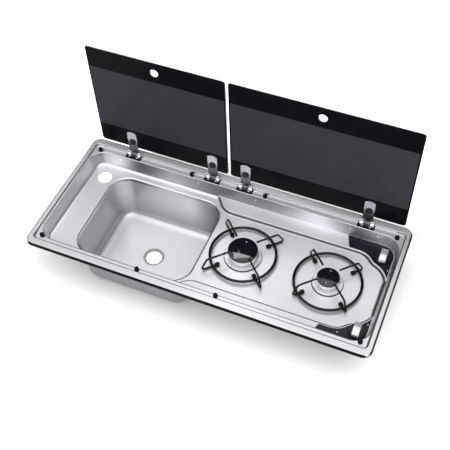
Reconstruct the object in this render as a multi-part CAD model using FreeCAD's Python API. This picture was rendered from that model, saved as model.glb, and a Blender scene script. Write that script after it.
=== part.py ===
# Built-in hob and sink unit: pressed steel top, drawn bowl, two gas burners and two hinged glass lids.
# Millimetres. Origin in the middle of the worktop cut-out, on the worktop surface.
# X runs right towards the hob, -Y is the front, Z is up. The lids stand open.
import FreeCAD, Part
import math
import os

Vec = FreeCAD.Vector
X_AXIS = Vec(1, 0, 0)
Z_AXIS = Vec(0, 0, 1)

# Rim and its seal
RIM_WIDTH = 900.0
RIM_DEPTH = 390.0
RIM_CORNER = 23.0
SHEET = 1.0
SEAL_HEIGHT = 7.0
SEAL_WIDTH = 10.0
SEAL_OVERHANG = 1.0
SEAL_STEP_GAP = 0.5
SEAL_ROUND = 1.0

# Recess in which the closed lids lie
RECESS_SIDE_MARGIN = 15.0
RECESS_BACK_MARGIN = 22.0
RECESS_CORNER = 10.0
RECESS_DROP = 6.0
RISER_RUN = 2.0
RISER_BEND = 1.0
RIM_BEND = 1.5
LIP_ROUND = 4.0
LIP_DROP = 5.0

# Well below the ledge
LEDGE_SIDE = 3.0
LEDGE_BACK = 16.0
LEDGE_FRONT = 13.0
LEDGE_BEND = 2.0
WELL_CORNER = 42.0
WELL_DROP = 38.0
WELL_SIDE_LEAN = 9.0
WELL_BACK_LEAN = 9.5
WELL_FRONT_LEAN = 1.5
WELL_FLOOR_BEND = 12.0

# Raised border round the hob deck
BORDER_RISE = 7.0
BORDER_RUN = 7.0
BORDER_SECTIONS = 6
HOB_BACK_MARGIN = 47.0
HOB_FRONT_MARGIN = 33.0
HOB_RIGHT_MARGIN = 4.5
STRIP_BOWL_GAP = 28.0
STRIP_BEND = 45.0
STRIP_BEND_ANGLE = 60.0
LOBE_OUTER = 48.0
LOBE_WAIST = 30.0
LOBE_INNER = 63.5
LOBE_STEEP = 50.0
LOBE_SHALLOW = 20.0

# Sink bowl and tap hole
BOWL_LEFT_MARGIN = 79.0
BOWL_BURNER_GAP = 105.0
BOWL_BACK_MARGIN = 33.0
BOWL_FRONT_MARGIN = 19.0
BOWL_CORNER = 52.0
BOWL_DEPTH = 136.0
BOWL_DRAFT = 5.5
BOWL_LIP = 6.0
BOWL_FLOOR_BEND = 22.0
COLLAR_DEPTH = 10.0
DRAIN_RADIUS = 21.0
DRAIN_DISH_RADIUS = 29.0
DRAIN_DISH_DEPTH = 4.0
DRAIN_DISH_RUN = 2.5
DRAIN_EDGE_BEND = 1.0
TAP_HOLE_RADIUS = 19.0
TAP_HOLE_SIDE_MARGIN = 51.0
TAP_HOLE_BACK_MARGIN = 56.0

# Fixing holes through the well walls into the worktop edge
FIXING_HINGE_GAP = 36.0
FIXING_DROP = 12.0
FIXING_RADIUS = 2.5

# Lid buffers
BUFFER_RADIUS = 5.8
BUFFER_ROUND = 3.5
BUFFER_GAP = 0.4
BUFFER_SIDE_INSET = 18.0
BUFFER_BACK_CORNER_INSET = 16.0
BUFFER_FRONT_CORNER_INSET = 14.0
BUFFER_FRONT_INSET = 7.0
BUFFER_BACK_INSET = 9.0
BUFFER_HINGE_GAP = 58.0

# Glass lids, upright
GLASS = 5.0
GLASS_CORNER = 8.0
GLASS_EDGE = 0.8
LID_PIN_GAP = 0.4
LID_BOTTOM_GAP = 21.4
LID_FRONT_GAP = 7.1
SINK_LID_MARGIN = 20.0
HOB_LID_MARGIN = 7.0
LID_BOWL_OVERLAP = 10.0
LID_GAP = 7.0
FINGER_RADIUS = 11.0
FINGER_DROP = 32.5

# Lid hinges
HINGE_OUTER_INSET = 94.0
HINGE_INNER_INSET = 43.0
PIN_BACK_MARGIN = 18.5
PIN_RADIUS = 1.75
PIN_HEIGHT = 3.6
PIN_CLEARANCE = 0.05
PIN_STUB = 1.0
KNUCKLE_RADIUS = 3.4
LEAF_KNUCKLE_RADIUS = 3.1
KNUCKLE_LENGTH = 9.0
KNUCKLE_GAP = 0.5
LEAF_KNUCKLE_LENGTH = 18.0
STRAP = 1.5
PAD_WIDTH = 45.0
PAD_DEPTH = 13.0
PAD_HEIGHT = 2.0
PAD_ROUND = 2.0
PAD_BACK_GAP = 1.0
FOOT_PLATE_MARGIN = 3.5
FOOT_PLATE_SLOT = 14.0
FOOT_PLATE_BAR = 2.5
STRAP_START = 2.0
HINGE_SCREW_RADIUS = 2.8
HINGE_SCREW_HEIGHT = 1.6
HINGE_SCREW_FACE = 2.0
HINGE_SCREW_SHANK = 1.6
HINGE_SCREW_REACH = 3.0
HINGE_SCREW_SPACING = 22.0
LEAF_WIDTH = 27.0
LEAF_HEIGHT = 78.4
LEAF = 2.0
LEAF_ARCH = 5.0
LEAF_SHOULDER = 5.0
GASKET = 0.5
GASKET_MARGIN = 2.0
CAP_RISE = 42.4
CAP_RADIUS = 9.0
CAP_THICK = 4.0
CAP_ROUND = 1.5
BOLT_RADIUS = 4.0
BOLT_CLEARANCE = 0.2
NUT_RADIUS = 9.0
NUT_THICK = 2.0

# Control panels
PANEL = 1.0
PANEL_EDGE_GAP = 2.0
PANEL_WALL_GAP = 1.5
PANEL_TAP_GAP = 88.0
PANEL_SLANT = 0.37
PANEL_TIP = 57.0

# Gas taps and knobs
TAP_SIDE_MARGIN = 33.0
TAP_BACK_MARGIN = 50.0
TAP_FRONT_MARGIN = 40.0
TAP_BODY_X = 26.0
TAP_BODY_Y = 24.0
TAP_BODY_HEIGHT = 42.0
TAP_BODY_BEVEL = 3.0
TAP_OUTLET_DROP = 26.0
TAP_OUTLET_RADIUS = 6.0
TAP_OUTLET_LENGTH = 7.0
STEM_RADIUS = 8.0
STEM_LENGTH = 22.0
STEM_TOP_DROP = 5.0
STEM_FLOOR = 2.0
RUN_CLEARANCE = 0.06
SPINDLE_RADIUS = 3.0
SPINDLE_END_GAP = 0.3
PUSH_TRAVEL = 3.0
PUSH_GAP = 0.6
PANEL_HOLE_RADIUS = 6.0
SKIRT_RADIUS = 19.5
SKIRT_TOP_RADIUS = 18.5
SKIRT_HEIGHT = 6.0
SKIRT_HOLLOW = 3.0
SKIRT_WALL = 2.0
HUB_RADIUS = 6.0
GRIP_LENGTH = 38.0
GRIP_WIDTH = 17.5
GRIP_HEIGHT = 15.0
GRIP_END_HEIGHT = 7.0
GRIP_ROUND = 1.5
GRIP_SOCKET = 11.0

# Gas rail and feed pipes
RAIL_RADIUS = 5.0
RAIL_BORE = 4.0
RAIL_OVERHANG = 20.0
SADDLE_DEPTH = 5.0
SADDLE_HEIGHT = 16.0
SADDLE_LENGTH = 18.0
INLET_RADIUS = 4.0
INLET_BORE = 3.0
INLET_LENGTH = 25.0
FEED_RADIUS = 3.0
FEED_BORE = 2.0
FEED_BEND = 30.0
FEED_SOCKET = 6.0

# Burners
RIGHT_BURNER_MARGIN = 139.0
BURNER_SPACING = 223.0
LEFT_BOSS_RADIUS = 48.0
RIGHT_BOSS_RADIUS = 39.0
BOSS_RISE = 4.0
BOSS_RUN = 2.0
LEFT_CAP_RADIUS = 38.0
RIGHT_CAP_RADIUS = 28.0
BURNER_CAP_THICK = 5.0
BURNER_CAP_CROWN = 2.0
BURNER_CAP_ROUND = 1.8
BURNER_CAP_LIP = 2.0
BURNER_CAP_LIP_GAP = 0.3
BURNER_CAP_OVERHANG = 1.5
FLAME_RING_HEIGHT = 20.0
FLAME_RING_WALL = 5.0
FLAME_RING_FLARE = 3.0
FLAME_RING_FLARE_HEIGHT = 8.0
FLAME_RING_FLOOR = 4.0
FLAME_SLOT_WIDTH = 1.6
FLAME_SLOT_DEPTH = 5.0
LEFT_FLAME_SLOTS = 24
RIGHT_FLAME_SLOTS = 18
SPIGOT_DEPTH = 8.0
SPIGOT_WALL = 2.0
SPIGOT_CLEARANCE = 0.2
THROAT_RADIUS = 18.0
CUP_WALL = 3.0
CUP_DEPTH = 30.0
CUP_FLANGE = 4.0
CUP_FLANGE_THICK = 3.0
INJECTOR_RADIUS = 7.0
INJECTOR_LENGTH = 12.0
PROBE_GAP = 4.5
PROBE_HOLE_CLEARANCE = 0.2
ELECTRODE_RADIUS = 2.5
ELECTRODE_TIP_RADIUS = 0.9
ELECTRODE_ANGLE = 62.0
THERMOCOUPLE_RADIUS = 1.8
THERMOCOUPLE_ANGLE = 20.0
PROBE_COLLAR = 1.2
PROBE_COLLAR_THICK = 2.0
PROBE_DEPTH = 14.0
PROBE_TOP_DROP = 3.0

# Pan supports
RING_RADIUS = 83.5
RING_WIRE = 3.5
PRONG_WIRE = 2.5
PRONG_BEND = 6.0
PRONG_TOP = 42.0
PRONG_ANGLES = (45.0, 135.0, 225.0, 315.0)
WELD_SINK = 0.6
LEFT_PRONG_INNER = 38.0
LEFT_PRONG_OUTER = 96.0
LEFT_PRONG_FOOT = 114.0
RIGHT_PRONG_INNER = 30.5
RIGHT_PRONG_OUTER = 81.0
RIGHT_PRONG_FOOT = 98.0
FOOT_X = 70.0
FOOT_RADIUS = 5.5
FOOT_LENGTH = 12.0
FOOT_ROUND = 3.0
FOOT_FLAT = 0.3
FOOT_GRIP = 4.0

# Levels that follow from the sizes above
RIM_TOP = SEAL_HEIGHT + SHEET
LIP_BOTTOM = RIM_TOP - LIP_DROP
LEDGE_TOP = RIM_TOP - RECESS_DROP
DECK_TOP = LEDGE_TOP - WELL_DROP
BORDER_TOP = DECK_TOP + BORDER_RISE
BORDER_UNDER = BORDER_TOP - SHEET
PANEL_TOP = BORDER_TOP + PANEL
BOSS_TOP = DECK_TOP + BOSS_RISE
BOWL_FLOOR = DECK_TOP - BOWL_DEPTH
COLLAR_BOTTOM = DECK_TOP - COLLAR_DEPTH
PAD_TOP = LEDGE_TOP + PAD_HEIGHT
FOOT_PLATE_TOP = PAD_TOP + STRAP
FLAME_TOP = BOSS_TOP + FLAME_RING_HEIGHT
GAS_Z = BORDER_UNDER - TAP_OUTLET_DROP
STEM_TOP = BORDER_UNDER - STEM_TOP_DROP
STEM_BOTTOM = STEM_TOP - STEM_LENGTH
SKIRT_BOTTOM = PANEL_TOP + PUSH_TRAVEL + PUSH_GAP
SKIRT_TOP = SKIRT_BOTTOM + SKIRT_HEIGHT
WIRE_LOW = DECK_TOP + FOOT_RADIUS - FOOT_FLAT
WIRE_HIGH = DECK_TOP + PRONG_TOP - PRONG_WIRE

# Places in plan that follow from the sizes above
RECESS_WIDTH = RIM_WIDTH - 2 * RECESS_SIDE_MARGIN
RECESS_DEPTH = RIM_DEPTH - 2 * RECESS_BACK_MARGIN
WELL_RIGHT = RECESS_WIDTH / 2 - LEDGE_SIDE
WELL_BACK = RECESS_DEPTH / 2 - LEDGE_BACK
WELL_FRONT = -RECESS_DEPTH / 2 + LEDGE_FRONT
HOB_RIGHT = WELL_RIGHT - HOB_RIGHT_MARGIN
HOB_BACK = WELL_BACK - HOB_BACK_MARGIN
HOB_FRONT = WELL_FRONT + HOB_FRONT_MARGIN
HOB_MIDDLE = (HOB_BACK + HOB_FRONT) / 2
BURNER_Y = HOB_MIDDLE
RIGHT_BURNER_X = WELL_RIGHT - RIGHT_BURNER_MARGIN
LEFT_BURNER_X = RIGHT_BURNER_X - BURNER_SPACING
BOWL_LEFT = -WELL_RIGHT + BOWL_LEFT_MARGIN
BOWL_RIGHT = LEFT_BURNER_X - BOWL_BURNER_GAP
BOWL_BACK = WELL_BACK - BOWL_BACK_MARGIN
BOWL_FRONT = WELL_FRONT + BOWL_FRONT_MARGIN
BOWL_X = (BOWL_LEFT + BOWL_RIGHT) / 2
BOWL_Y = (BOWL_FRONT + BOWL_BACK) / 2
STRIP_LEFT = BOWL_RIGHT + STRIP_BOWL_GAP
TAP_HOLE_X = -WELL_RIGHT + TAP_HOLE_SIDE_MARGIN
TAP_HOLE_Y = WELL_BACK - TAP_HOLE_BACK_MARGIN
TAP_X = WELL_RIGHT - TAP_SIDE_MARGIN
BACK_TAP_Y = WELL_BACK - TAP_BACK_MARGIN
FRONT_TAP_Y = WELL_FRONT + TAP_FRONT_MARGIN
PANEL_LEFT = TAP_X - PANEL_TAP_GAP
RAIL_X = TAP_X + TAP_BODY_X / 2 + SADDLE_DEPTH

# Lids and hinges that follow from the sizes above
PIN_Y = RIM_DEPTH / 2 - PIN_BACK_MARGIN
PIN_Z = RIM_TOP + PIN_HEIGHT
LID_FACE_Y = PIN_Y + LID_PIN_GAP
LID_BACK_Y = LID_FACE_Y + GLASS
LID_BOTTOM = PIN_Z + LID_BOTTOM_GAP
LID_TOP = PIN_Z + PIN_Y + RECESS_DEPTH / 2 - LID_FRONT_GAP
LID_CLOSED_Z = PIN_Z + LID_PIN_GAP
SINK_LID_LEFT = -RECESS_WIDTH / 2 + SINK_LID_MARGIN
SINK_LID_RIGHT = BOWL_RIGHT - LID_BOWL_OVERLAP
HOB_LID_LEFT = SINK_LID_RIGHT + LID_GAP
HOB_LID_RIGHT = RECESS_WIDTH / 2 - HOB_LID_MARGIN
HINGE_XS = (SINK_LID_LEFT + HINGE_OUTER_INSET, SINK_LID_RIGHT - HINGE_INNER_INSET,
            HOB_LID_LEFT + HINGE_INNER_INSET, HOB_LID_RIGHT - HINGE_OUTER_INSET)
FIXING_XS = (HINGE_XS[0] - FIXING_HINGE_GAP, HINGE_XS[1] - FIXING_HINGE_GAP,
             HINGE_XS[2] + FIXING_HINGE_GAP, HINGE_XS[3] - FIXING_HINGE_GAP, HINGE_XS[3] + FIXING_HINGE_GAP)
BUFFER_XS = (HINGE_XS[1] - BUFFER_HINGE_GAP, HINGE_XS[2] + BUFFER_HINGE_GAP)
LEAF_BACK_Y = LID_FACE_Y - GASKET
LEAF_TOP = PIN_Z + LEAF_HEIGHT
CAP_HEIGHT = PIN_Z + CAP_RISE
BRACKET_HALF = LEAF_KNUCKLE_LENGTH / 2 + KNUCKLE_GAP + KNUCKLE_LENGTH
PAD_BACK_Y = RECESS_DEPTH / 2 - PAD_BACK_GAP
PAD_Y = PAD_BACK_Y - PAD_DEPTH / 2

# Burner radii that follow from the sizes above
LEFT_RING_RADIUS = LEFT_CAP_RADIUS - BURNER_CAP_OVERHANG
RIGHT_RING_RADIUS = RIGHT_CAP_RADIUS - BURNER_CAP_OVERHANG
SPIGOT_RADIUS = THROAT_RADIUS + SPIGOT_WALL
BOSS_HOLE = SPIGOT_RADIUS + SPIGOT_CLEARANCE
CUP_RADIUS = BOSS_HOLE + CUP_WALL
BIG = RIM_WIDTH + RIM_DEPTH


def left_of(heading):
    """Unit vector to the left of a heading in degrees, in plan."""
    angle = math.radians(heading)
    return Vec(-math.sin(angle), math.cos(angle), 0)


def polygon(points):
    """Flat face inside a closed run of points."""
    return Part.Face(Part.makePolygon(list(points) + [points[0]]))


def revolve(profile, centre):
    """Solid of revolution from (radius, height) points, about a vertical axis through centre."""
    points = [Vec(radius, 0, height) for radius, height in profile]
    solid = polygon(points).revolve(Vec(0, 0, 0), Z_AXIS, 360)
    solid.translate(centre)
    return solid


def rod(radius, start, end):
    """Round bar between two points."""
    way = end.sub(start)
    return Part.makeCylinder(radius, way.Length, start, way)


def box(x0, x1, y0, y1, z0, z1):
    """Block between two corners."""
    return Part.makeBox(x1 - x0, y1 - y0, z1 - z0, Vec(x0, y0, z0))


def fuse(solids):
    """One solid from several that touch, with seams removed."""
    return solids[0].multiFuse(solids[1:]).removeSplitter()


def trace(start, heading, steps, offset, z):
    """Edges of straight runs and tangent arcs, and their ends, moved to the right of the way by offset.

    A step is (length,) for a run or (radius, degrees) for an arc, with degrees positive to the left.
    """
    edges = []
    place = Vec(start.x, start.y, z)
    first = place.sub(left_of(heading) * offset)
    last = first
    for step in steps:
        if len(step) == 1:
            place = place.add(left_of(heading - 90) * step[0])
            end = place.sub(left_of(heading) * offset)
            edges.append(Part.LineSegment(last, end).toShape())
        else:
            radius, turn = step
            side = math.copysign(1.0, turn)
            centre = place.add(left_of(heading) * (side * radius))
            swing = side * (radius + side * offset)
            middle = centre.sub(left_of(heading + turn / 2) * swing)
            end = centre.sub(left_of(heading + turn) * swing)
            edges.append(Part.Arc(last, middle, end).toShape())
            place = centre.sub(left_of(heading + turn) * (side * radius))
            heading += turn
        last = end
    return edges, first, last


def rounded_outline(x0, x1, y0, y1, radius, z):
    """Closed wire of a rectangle with round corners."""
    start = Vec(x0 + radius, y0, z)
    width = x1 - x0 - 2 * radius
    depth = y1 - y0 - 2 * radius
    steps = [(width,), (radius, 90), (depth,), (radius, 90)] * 2
    return Part.Wire(trace(start, 0, steps, 0.0, z)[0])


def rounded_block(x0, x1, y0, y1, radius, z0, z1):
    """Upright block with round corners in plan."""
    return Part.Face(rounded_outline(x0, x1, y0, y1, radius, z0)).extrude(Vec(0, 0, z1 - z0))


def centred_block(width, depth, radius, z0, z1):
    """Upright block with round corners, about the origin."""
    return rounded_block(-width / 2, width / 2, -depth / 2, depth / 2, radius, z0, z1)


def flat_edges(solid, z, x0=-BIG, x1=BIG, y0=-BIG, y1=BIG):
    """Edges that lie at a height, inside limits in plan."""
    found = []
    for edge in solid.Edges:
        reach = edge.BoundBox
        level = abs(reach.ZMin - z) < 0.01 and abs(reach.ZMax - z) < 0.01
        inside = reach.XMin > x0 and reach.XMax < x1 and reach.YMin > y0 and reach.YMax < y1
        if level and inside:
            found.append(edge)
    return found


def recess_space(grow):
    """Space of the lid recess, grown by the sheet for its outside."""
    half_x = RECESS_WIDTH / 2 + grow
    half_y = RECESS_DEPTH / 2 + grow
    corner = RECESS_CORNER + grow
    low = LEDGE_TOP - grow
    floor = rounded_outline(-half_x, half_x, -half_y, half_y, corner, low)
    wide_x = half_x + RISER_RUN
    wide_y = half_y + RISER_RUN
    mouth = rounded_outline(-wide_x, wide_x, -wide_y, wide_y, corner + RISER_RUN, RIM_TOP - grow)
    space = Part.makeLoft([floor, mouth], True, True)
    return space.makeFillet(RISER_BEND + grow, flat_edges(space, low))


def well_outline(z, grow):
    """Outline of the leaning well walls at a height, grown by the sheet for their outside."""
    share = (LEDGE_TOP - z) / WELL_DROP
    x1 = WELL_RIGHT - WELL_SIDE_LEAN * share + grow
    y0 = WELL_FRONT + WELL_FRONT_LEAN * share - grow
    y1 = WELL_BACK - WELL_BACK_LEAN * share + grow
    return rounded_outline(-x1, x1, y0, y1, WELL_CORNER - WELL_SIDE_LEAN * share + grow, z)


def well_space(grow):
    """Space of the well, with the bend between walls and deck."""
    floor = DECK_TOP - grow
    space = Part.makeLoft([well_outline(floor, grow), well_outline(LEDGE_TOP - grow, grow)], True, True)
    return space.makeFillet(WELL_FLOOR_BEND + grow, flat_edges(space, floor))


def bowl_outline(z, grow):
    """Outline of the leaning bowl walls at a height, grown by the sheet for their outside."""
    lean = (DECK_TOP - z) * math.tan(math.radians(BOWL_DRAFT)) - grow
    return rounded_outline(BOWL_LEFT + lean, BOWL_RIGHT - lean, BOWL_FRONT + lean, BOWL_BACK - lean,
                           BOWL_CORNER - lean, z)


def bowl_space(grow, top, bottom):
    """Space of the bowl between two heights."""
    return Part.makeLoft([bowl_outline(bottom, grow), bowl_outline(top, grow)], True, True)


def border_way():
    """Start and steps of the curved edge between the raised border and the hob deck."""
    lobe = [(LOBE_OUTER, -LOBE_STEEP), (LOBE_WAIST, LOBE_STEEP - LOBE_SHALLOW),
            (LOBE_INNER, LOBE_SHALLOW - 90)]
    steep = math.radians(LOBE_STEEP)
    shallow = math.radians(LOBE_SHALLOW)
    lobe_x = (LOBE_OUTER * math.sin(steep) + LOBE_WAIST * (math.sin(steep) - math.sin(shallow))
              + LOBE_INNER * (1 - math.sin(shallow)))
    lobe_y = (LOBE_OUTER * (1 - math.cos(steep)) + LOBE_WAIST * (math.cos(shallow) - math.cos(steep))
              + LOBE_INNER * math.cos(shallow))
    bend = math.radians(STRIP_BEND_ANGLE)
    start = Vec(STRIP_LEFT - 2 * STRIP_BEND * math.sin(bend),
                HOB_BACK + 2 * STRIP_BEND * (1 - math.cos(bend)), 0)
    strip = HOB_RIGHT - lobe_x - STRIP_LEFT
    side = HOB_BACK - HOB_FRONT - 2 * lobe_y
    steps = [(STRIP_BEND, -STRIP_BEND_ANGLE), (STRIP_BEND, STRIP_BEND_ANGLE), (strip,)]
    steps += lobe + [(side,)] + lobe[::-1] + [(strip,), (STRIP_BEND, 90)]
    return start, steps


def border_wire(offset, z):
    """Closed wire of the border in plan, its inner edge moved towards the hob by offset."""
    start, steps = border_way()
    edges, first, last = trace(start, 0, steps, offset, z)
    outside = [last, Vec(last.x, -RIM_DEPTH, z), Vec(BIG, -RIM_DEPTH, z), Vec(BIG, RIM_DEPTH, z),
               Vec(first.x, RIM_DEPTH, z), first]
    for begin, end in zip(outside, outside[1:]):
        edges.append(Part.LineSegment(begin, end).toShape())
    return Part.Wire(edges)


def border_block(sink):
    """Raised border as a solid with a wavy flank, set in by the sheet for its underside."""
    wires = []
    for index in range(BORDER_SECTIONS + 1):
        phase = math.pi * index / BORDER_SECTIONS
        run = BORDER_RUN * index / BORDER_SECTIONS
        drop = BORDER_RISE * (1 - math.cos(phase)) / 2
        slope = math.atan(BORDER_RISE * math.pi * math.sin(phase) / 2 / BORDER_RUN)
        wires.append(border_wire(run - sink * math.sin(slope), BORDER_TOP - drop - sink * math.cos(slope)))
    wires.append(border_wire(BORDER_RUN, COLLAR_BOTTOM))
    return Part.makeLoft(wires, True, True)


def boss_block(x, radius, sink):
    """Raised round seat of a burner, set in by the sheet for its underside."""
    flank = math.atan2(BOSS_RISE, BOSS_RUN)
    top = radius - BOSS_RUN / 2 - sink * math.tan(flank / 2)
    rise = BOSS_RISE + SHEET
    base = Vec(x, BURNER_Y, BOSS_TOP - rise - sink)
    return Part.makeCone(top + rise * BOSS_RUN / BOSS_RISE, top, rise, base)


def top_space(grow):
    """Open space above the pressing, or with the sheet's thickness the space that its outside fills."""
    low = LEDGE_TOP - grow
    deck = DECK_TOP - grow
    space = recess_space(grow).fuse(well_space(grow))
    mouth = flat_edges(space, low, -WELL_RIGHT - LEDGE_SIDE / 2, WELL_RIGHT + LEDGE_SIDE / 2,
                       WELL_FRONT - LEDGE_FRONT / 2, WELL_BACK + LEDGE_BACK / 2)
    space = space.makeFillet(LEDGE_BEND - grow, mouth)
    space = space.fuse(bowl_space(grow, deck, COLLAR_BOTTOM))
    lip = flat_edges(space, deck, BOWL_LEFT - BOWL_LIP, BOWL_RIGHT + BOWL_LIP,
                     BOWL_FRONT - BOWL_LIP, BOWL_BACK + BOWL_LIP)
    space = space.makeFillet(BOWL_LIP - grow, lip)
    space = space.cut(border_block(grow))
    for x, radius in ((LEFT_BURNER_X, LEFT_BOSS_RADIUS), (RIGHT_BURNER_X, RIGHT_BOSS_RADIUS)):
        space = space.cut(boss_block(x, radius, grow))
    return space


def rim_block(inset):
    """Block with the rim's round outer edge, or with the sheet's thickness the space under it."""
    top = RIM_TOP - inset
    block = centred_block(RIM_WIDTH - 2 * inset, RIM_DEPTH - 2 * inset, RIM_CORNER - inset, LIP_BOTTOM, top)
    return block.makeFillet(LIP_ROUND - inset, flat_edges(block, top))


def top_pressing():
    """Steel top pressed from one sheet: rim, lid recess, well, bowl collar, raised border, burner seats."""
    rim = rim_block(0.0).cut(rim_block(SHEET))
    steel = rim.fuse(top_space(SHEET)).cut(top_space(0.0))
    reach_x = RECESS_WIDTH / 2 + 2 * RISER_RUN
    reach_y = RECESS_DEPTH / 2 + 2 * RISER_RUN
    steel = steel.makeFillet(RIM_BEND, flat_edges(steel, RIM_TOP, -reach_x, reach_x, -reach_y, reach_y))
    below = DECK_TOP - WELL_DROP / 2
    holes = [Part.makeCylinder(TAP_HOLE_RADIUS, WELL_DROP, Vec(TAP_HOLE_X, TAP_HOLE_Y, below))]
    for x in FIXING_XS:
        holes.append(rod(FIXING_RADIUS, Vec(x, -RIM_DEPTH / 2, LEDGE_TOP - FIXING_DROP),
                         Vec(x, RIM_DEPTH / 2, LEDGE_TOP - FIXING_DROP)))
    for x, ring_radius in ((LEFT_BURNER_X, LEFT_RING_RADIUS), (RIGHT_BURNER_X, RIGHT_RING_RADIUS)):
        holes.append(Part.makeCylinder(BOSS_HOLE, WELL_DROP, Vec(x, BURNER_Y, below)))
        probes = ((ELECTRODE_ANGLE, ELECTRODE_RADIUS), (THERMOCOUPLE_ANGLE, THERMOCOUPLE_RADIUS))
        for angle, radius in probes:
            spot = probe_spot(x, ring_radius, angle)
            holes.append(Part.makeCylinder(radius + PROBE_HOLE_CLEARANCE, WELL_DROP,
                                           spot.sub(Vec(0, 0, WELL_DROP / 2))))
    for y in (BACK_TAP_Y, FRONT_TAP_Y):
        holes.append(Part.makeCylinder(PANEL_HOLE_RADIUS, WELL_DROP, Vec(TAP_X, y, below)))
    for spot in hinge_screw_spots():
        low = spot.sub(Vec(0, 0, 2 * SHEET))
        holes.append(Part.makeCylinder(HINGE_SCREW_SHANK + BOLT_CLEARANCE, 2 * SHEET, low))
    return steel.cut(holes)


def sink_bowl():
    """Drawn bowl below the collar, with round floor corners and a dished drain."""
    shells = []
    for grow in (0.0, SHEET):
        floor = BOWL_FLOOR - grow
        space = bowl_space(grow, COLLAR_BOTTOM, floor)
        space = space.makeFillet(BOWL_FLOOR_BEND + grow, flat_edges(space, floor))
        low = floor - DRAIN_DISH_DEPTH
        dish = Part.makeCone(DRAIN_DISH_RADIUS - DRAIN_DISH_RUN + grow, DRAIN_DISH_RADIUS + grow,
                             DRAIN_DISH_DEPTH, Vec(BOWL_X, BOWL_Y, low))
        shells.append(space.fuse(dish))
    hole = Part.makeCylinder(DRAIN_RADIUS, BOWL_DEPTH, Vec(BOWL_X, BOWL_Y, BOWL_FLOOR - BOWL_DEPTH / 2))
    bowl = shells[1].cut(shells[0]).cut(hole)
    edge = DRAIN_DISH_RADIUS + DRAIN_DISH_RUN
    return bowl.makeFillet(DRAIN_EDGE_BEND, flat_edges(bowl, BOWL_FLOOR, BOWL_X - edge, BOWL_X + edge,
                                                       BOWL_Y - edge, BOWL_Y + edge))


def rim_seal():
    """Rubber frame between the rim and the worktop, with a foot below the rim's turned-down edge."""
    width = RIM_WIDTH + 2 * SEAL_OVERHANG
    depth = RIM_DEPTH + 2 * SEAL_OVERHANG
    corner = RIM_CORNER + SEAL_OVERHANG
    foot = centred_block(width, depth, corner, 0, LIP_BOTTOM)
    foot = foot.makeFillet(SEAL_ROUND, flat_edges(foot, 0))
    step = LIP_ROUND + SEAL_STEP_GAP
    upper = centred_block(RIM_WIDTH - 2 * step, RIM_DEPTH - 2 * step, RIM_CORNER - step, LIP_BOTTOM, SEAL_HEIGHT)
    inside = centred_block(width - 2 * SEAL_WIDTH, depth - 2 * SEAL_WIDTH, corner - SEAL_WIDTH,
                           0, SEAL_HEIGHT)
    return fuse([foot, upper]).cut(inside)


def lid_buffers():
    """Rubber studs on the ledge, just under the closed lids."""
    side = RECESS_WIDTH / 2 - BUFFER_SIDE_INSET
    half = RECESS_DEPTH / 2
    spots = [(x, half - BUFFER_BACK_INSET) for x in BUFFER_XS]
    spots += [(x, -half + BUFFER_FRONT_INSET) for x in BUFFER_XS]
    spots += [(x, half - BUFFER_BACK_CORNER_INSET) for x in (-side, side)]
    spots += [(x, -half + BUFFER_FRONT_CORNER_INSET) for x in (-side, side)]
    height = LID_CLOSED_Z - BUFFER_GAP - LEDGE_TOP
    studs = []
    for x, y in spots:
        stud = Part.makeCylinder(BUFFER_RADIUS, height, Vec(x, y, LEDGE_TOP))
        studs.append(stud.makeFillet(BUFFER_ROUND, flat_edges(stud, LEDGE_TOP + height)))
    return Part.makeCompound(studs)


def to_front(shape, x, y, z):
    """Stand a flat shape up: its Y becomes Z, and its Z looks to the front from the plane y."""
    shape.rotate(Vec(0, 0, 0), X_AXIS, 90)
    shape.translate(Vec(x, y, z))
    return shape


def hinge_pads():
    """Rubber pads between the hinge brackets and the ledge."""
    pads = []
    for x in HINGE_XS:
        pads.append(rounded_block(x - PAD_WIDTH / 2, x + PAD_WIDTH / 2, PAD_BACK_Y - PAD_DEPTH, PAD_BACK_Y,
                                  PAD_ROUND, LEDGE_TOP, PAD_TOP))
    bore = HINGE_SCREW_SHANK + BOLT_CLEARANCE
    holes = [Part.makeCylinder(bore, PAD_HEIGHT, spot) for spot in hinge_screw_spots()]
    return Part.makeCompound([pad.cut(holes) for pad in pads])


def hinge_screw_spots():
    """Points on the ledge where the hinge screws go through."""
    spots = []
    for x in HINGE_XS:
        for side in (-1, 1):
            spots.append(Vec(x + side * HINGE_SCREW_SPACING / 2, PAD_Y, LEDGE_TOP))
    return spots


def hinge_screws():
    """Pan-head screws through the bracket feet, the pads and the ledge."""
    head = FOOT_PLATE_TOP - LEDGE_TOP
    top = head + HINGE_SCREW_HEIGHT
    profile = [(0, -HINGE_SCREW_REACH), (HINGE_SCREW_SHANK, -HINGE_SCREW_REACH), (HINGE_SCREW_SHANK, head),
               (HINGE_SCREW_RADIUS, head), (HINGE_SCREW_RADIUS, (head + top) / 2),
               (HINGE_SCREW_FACE, top), (0, top)]
    return Part.makeCompound([revolve(profile, spot) for spot in hinge_screw_spots()])


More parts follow.
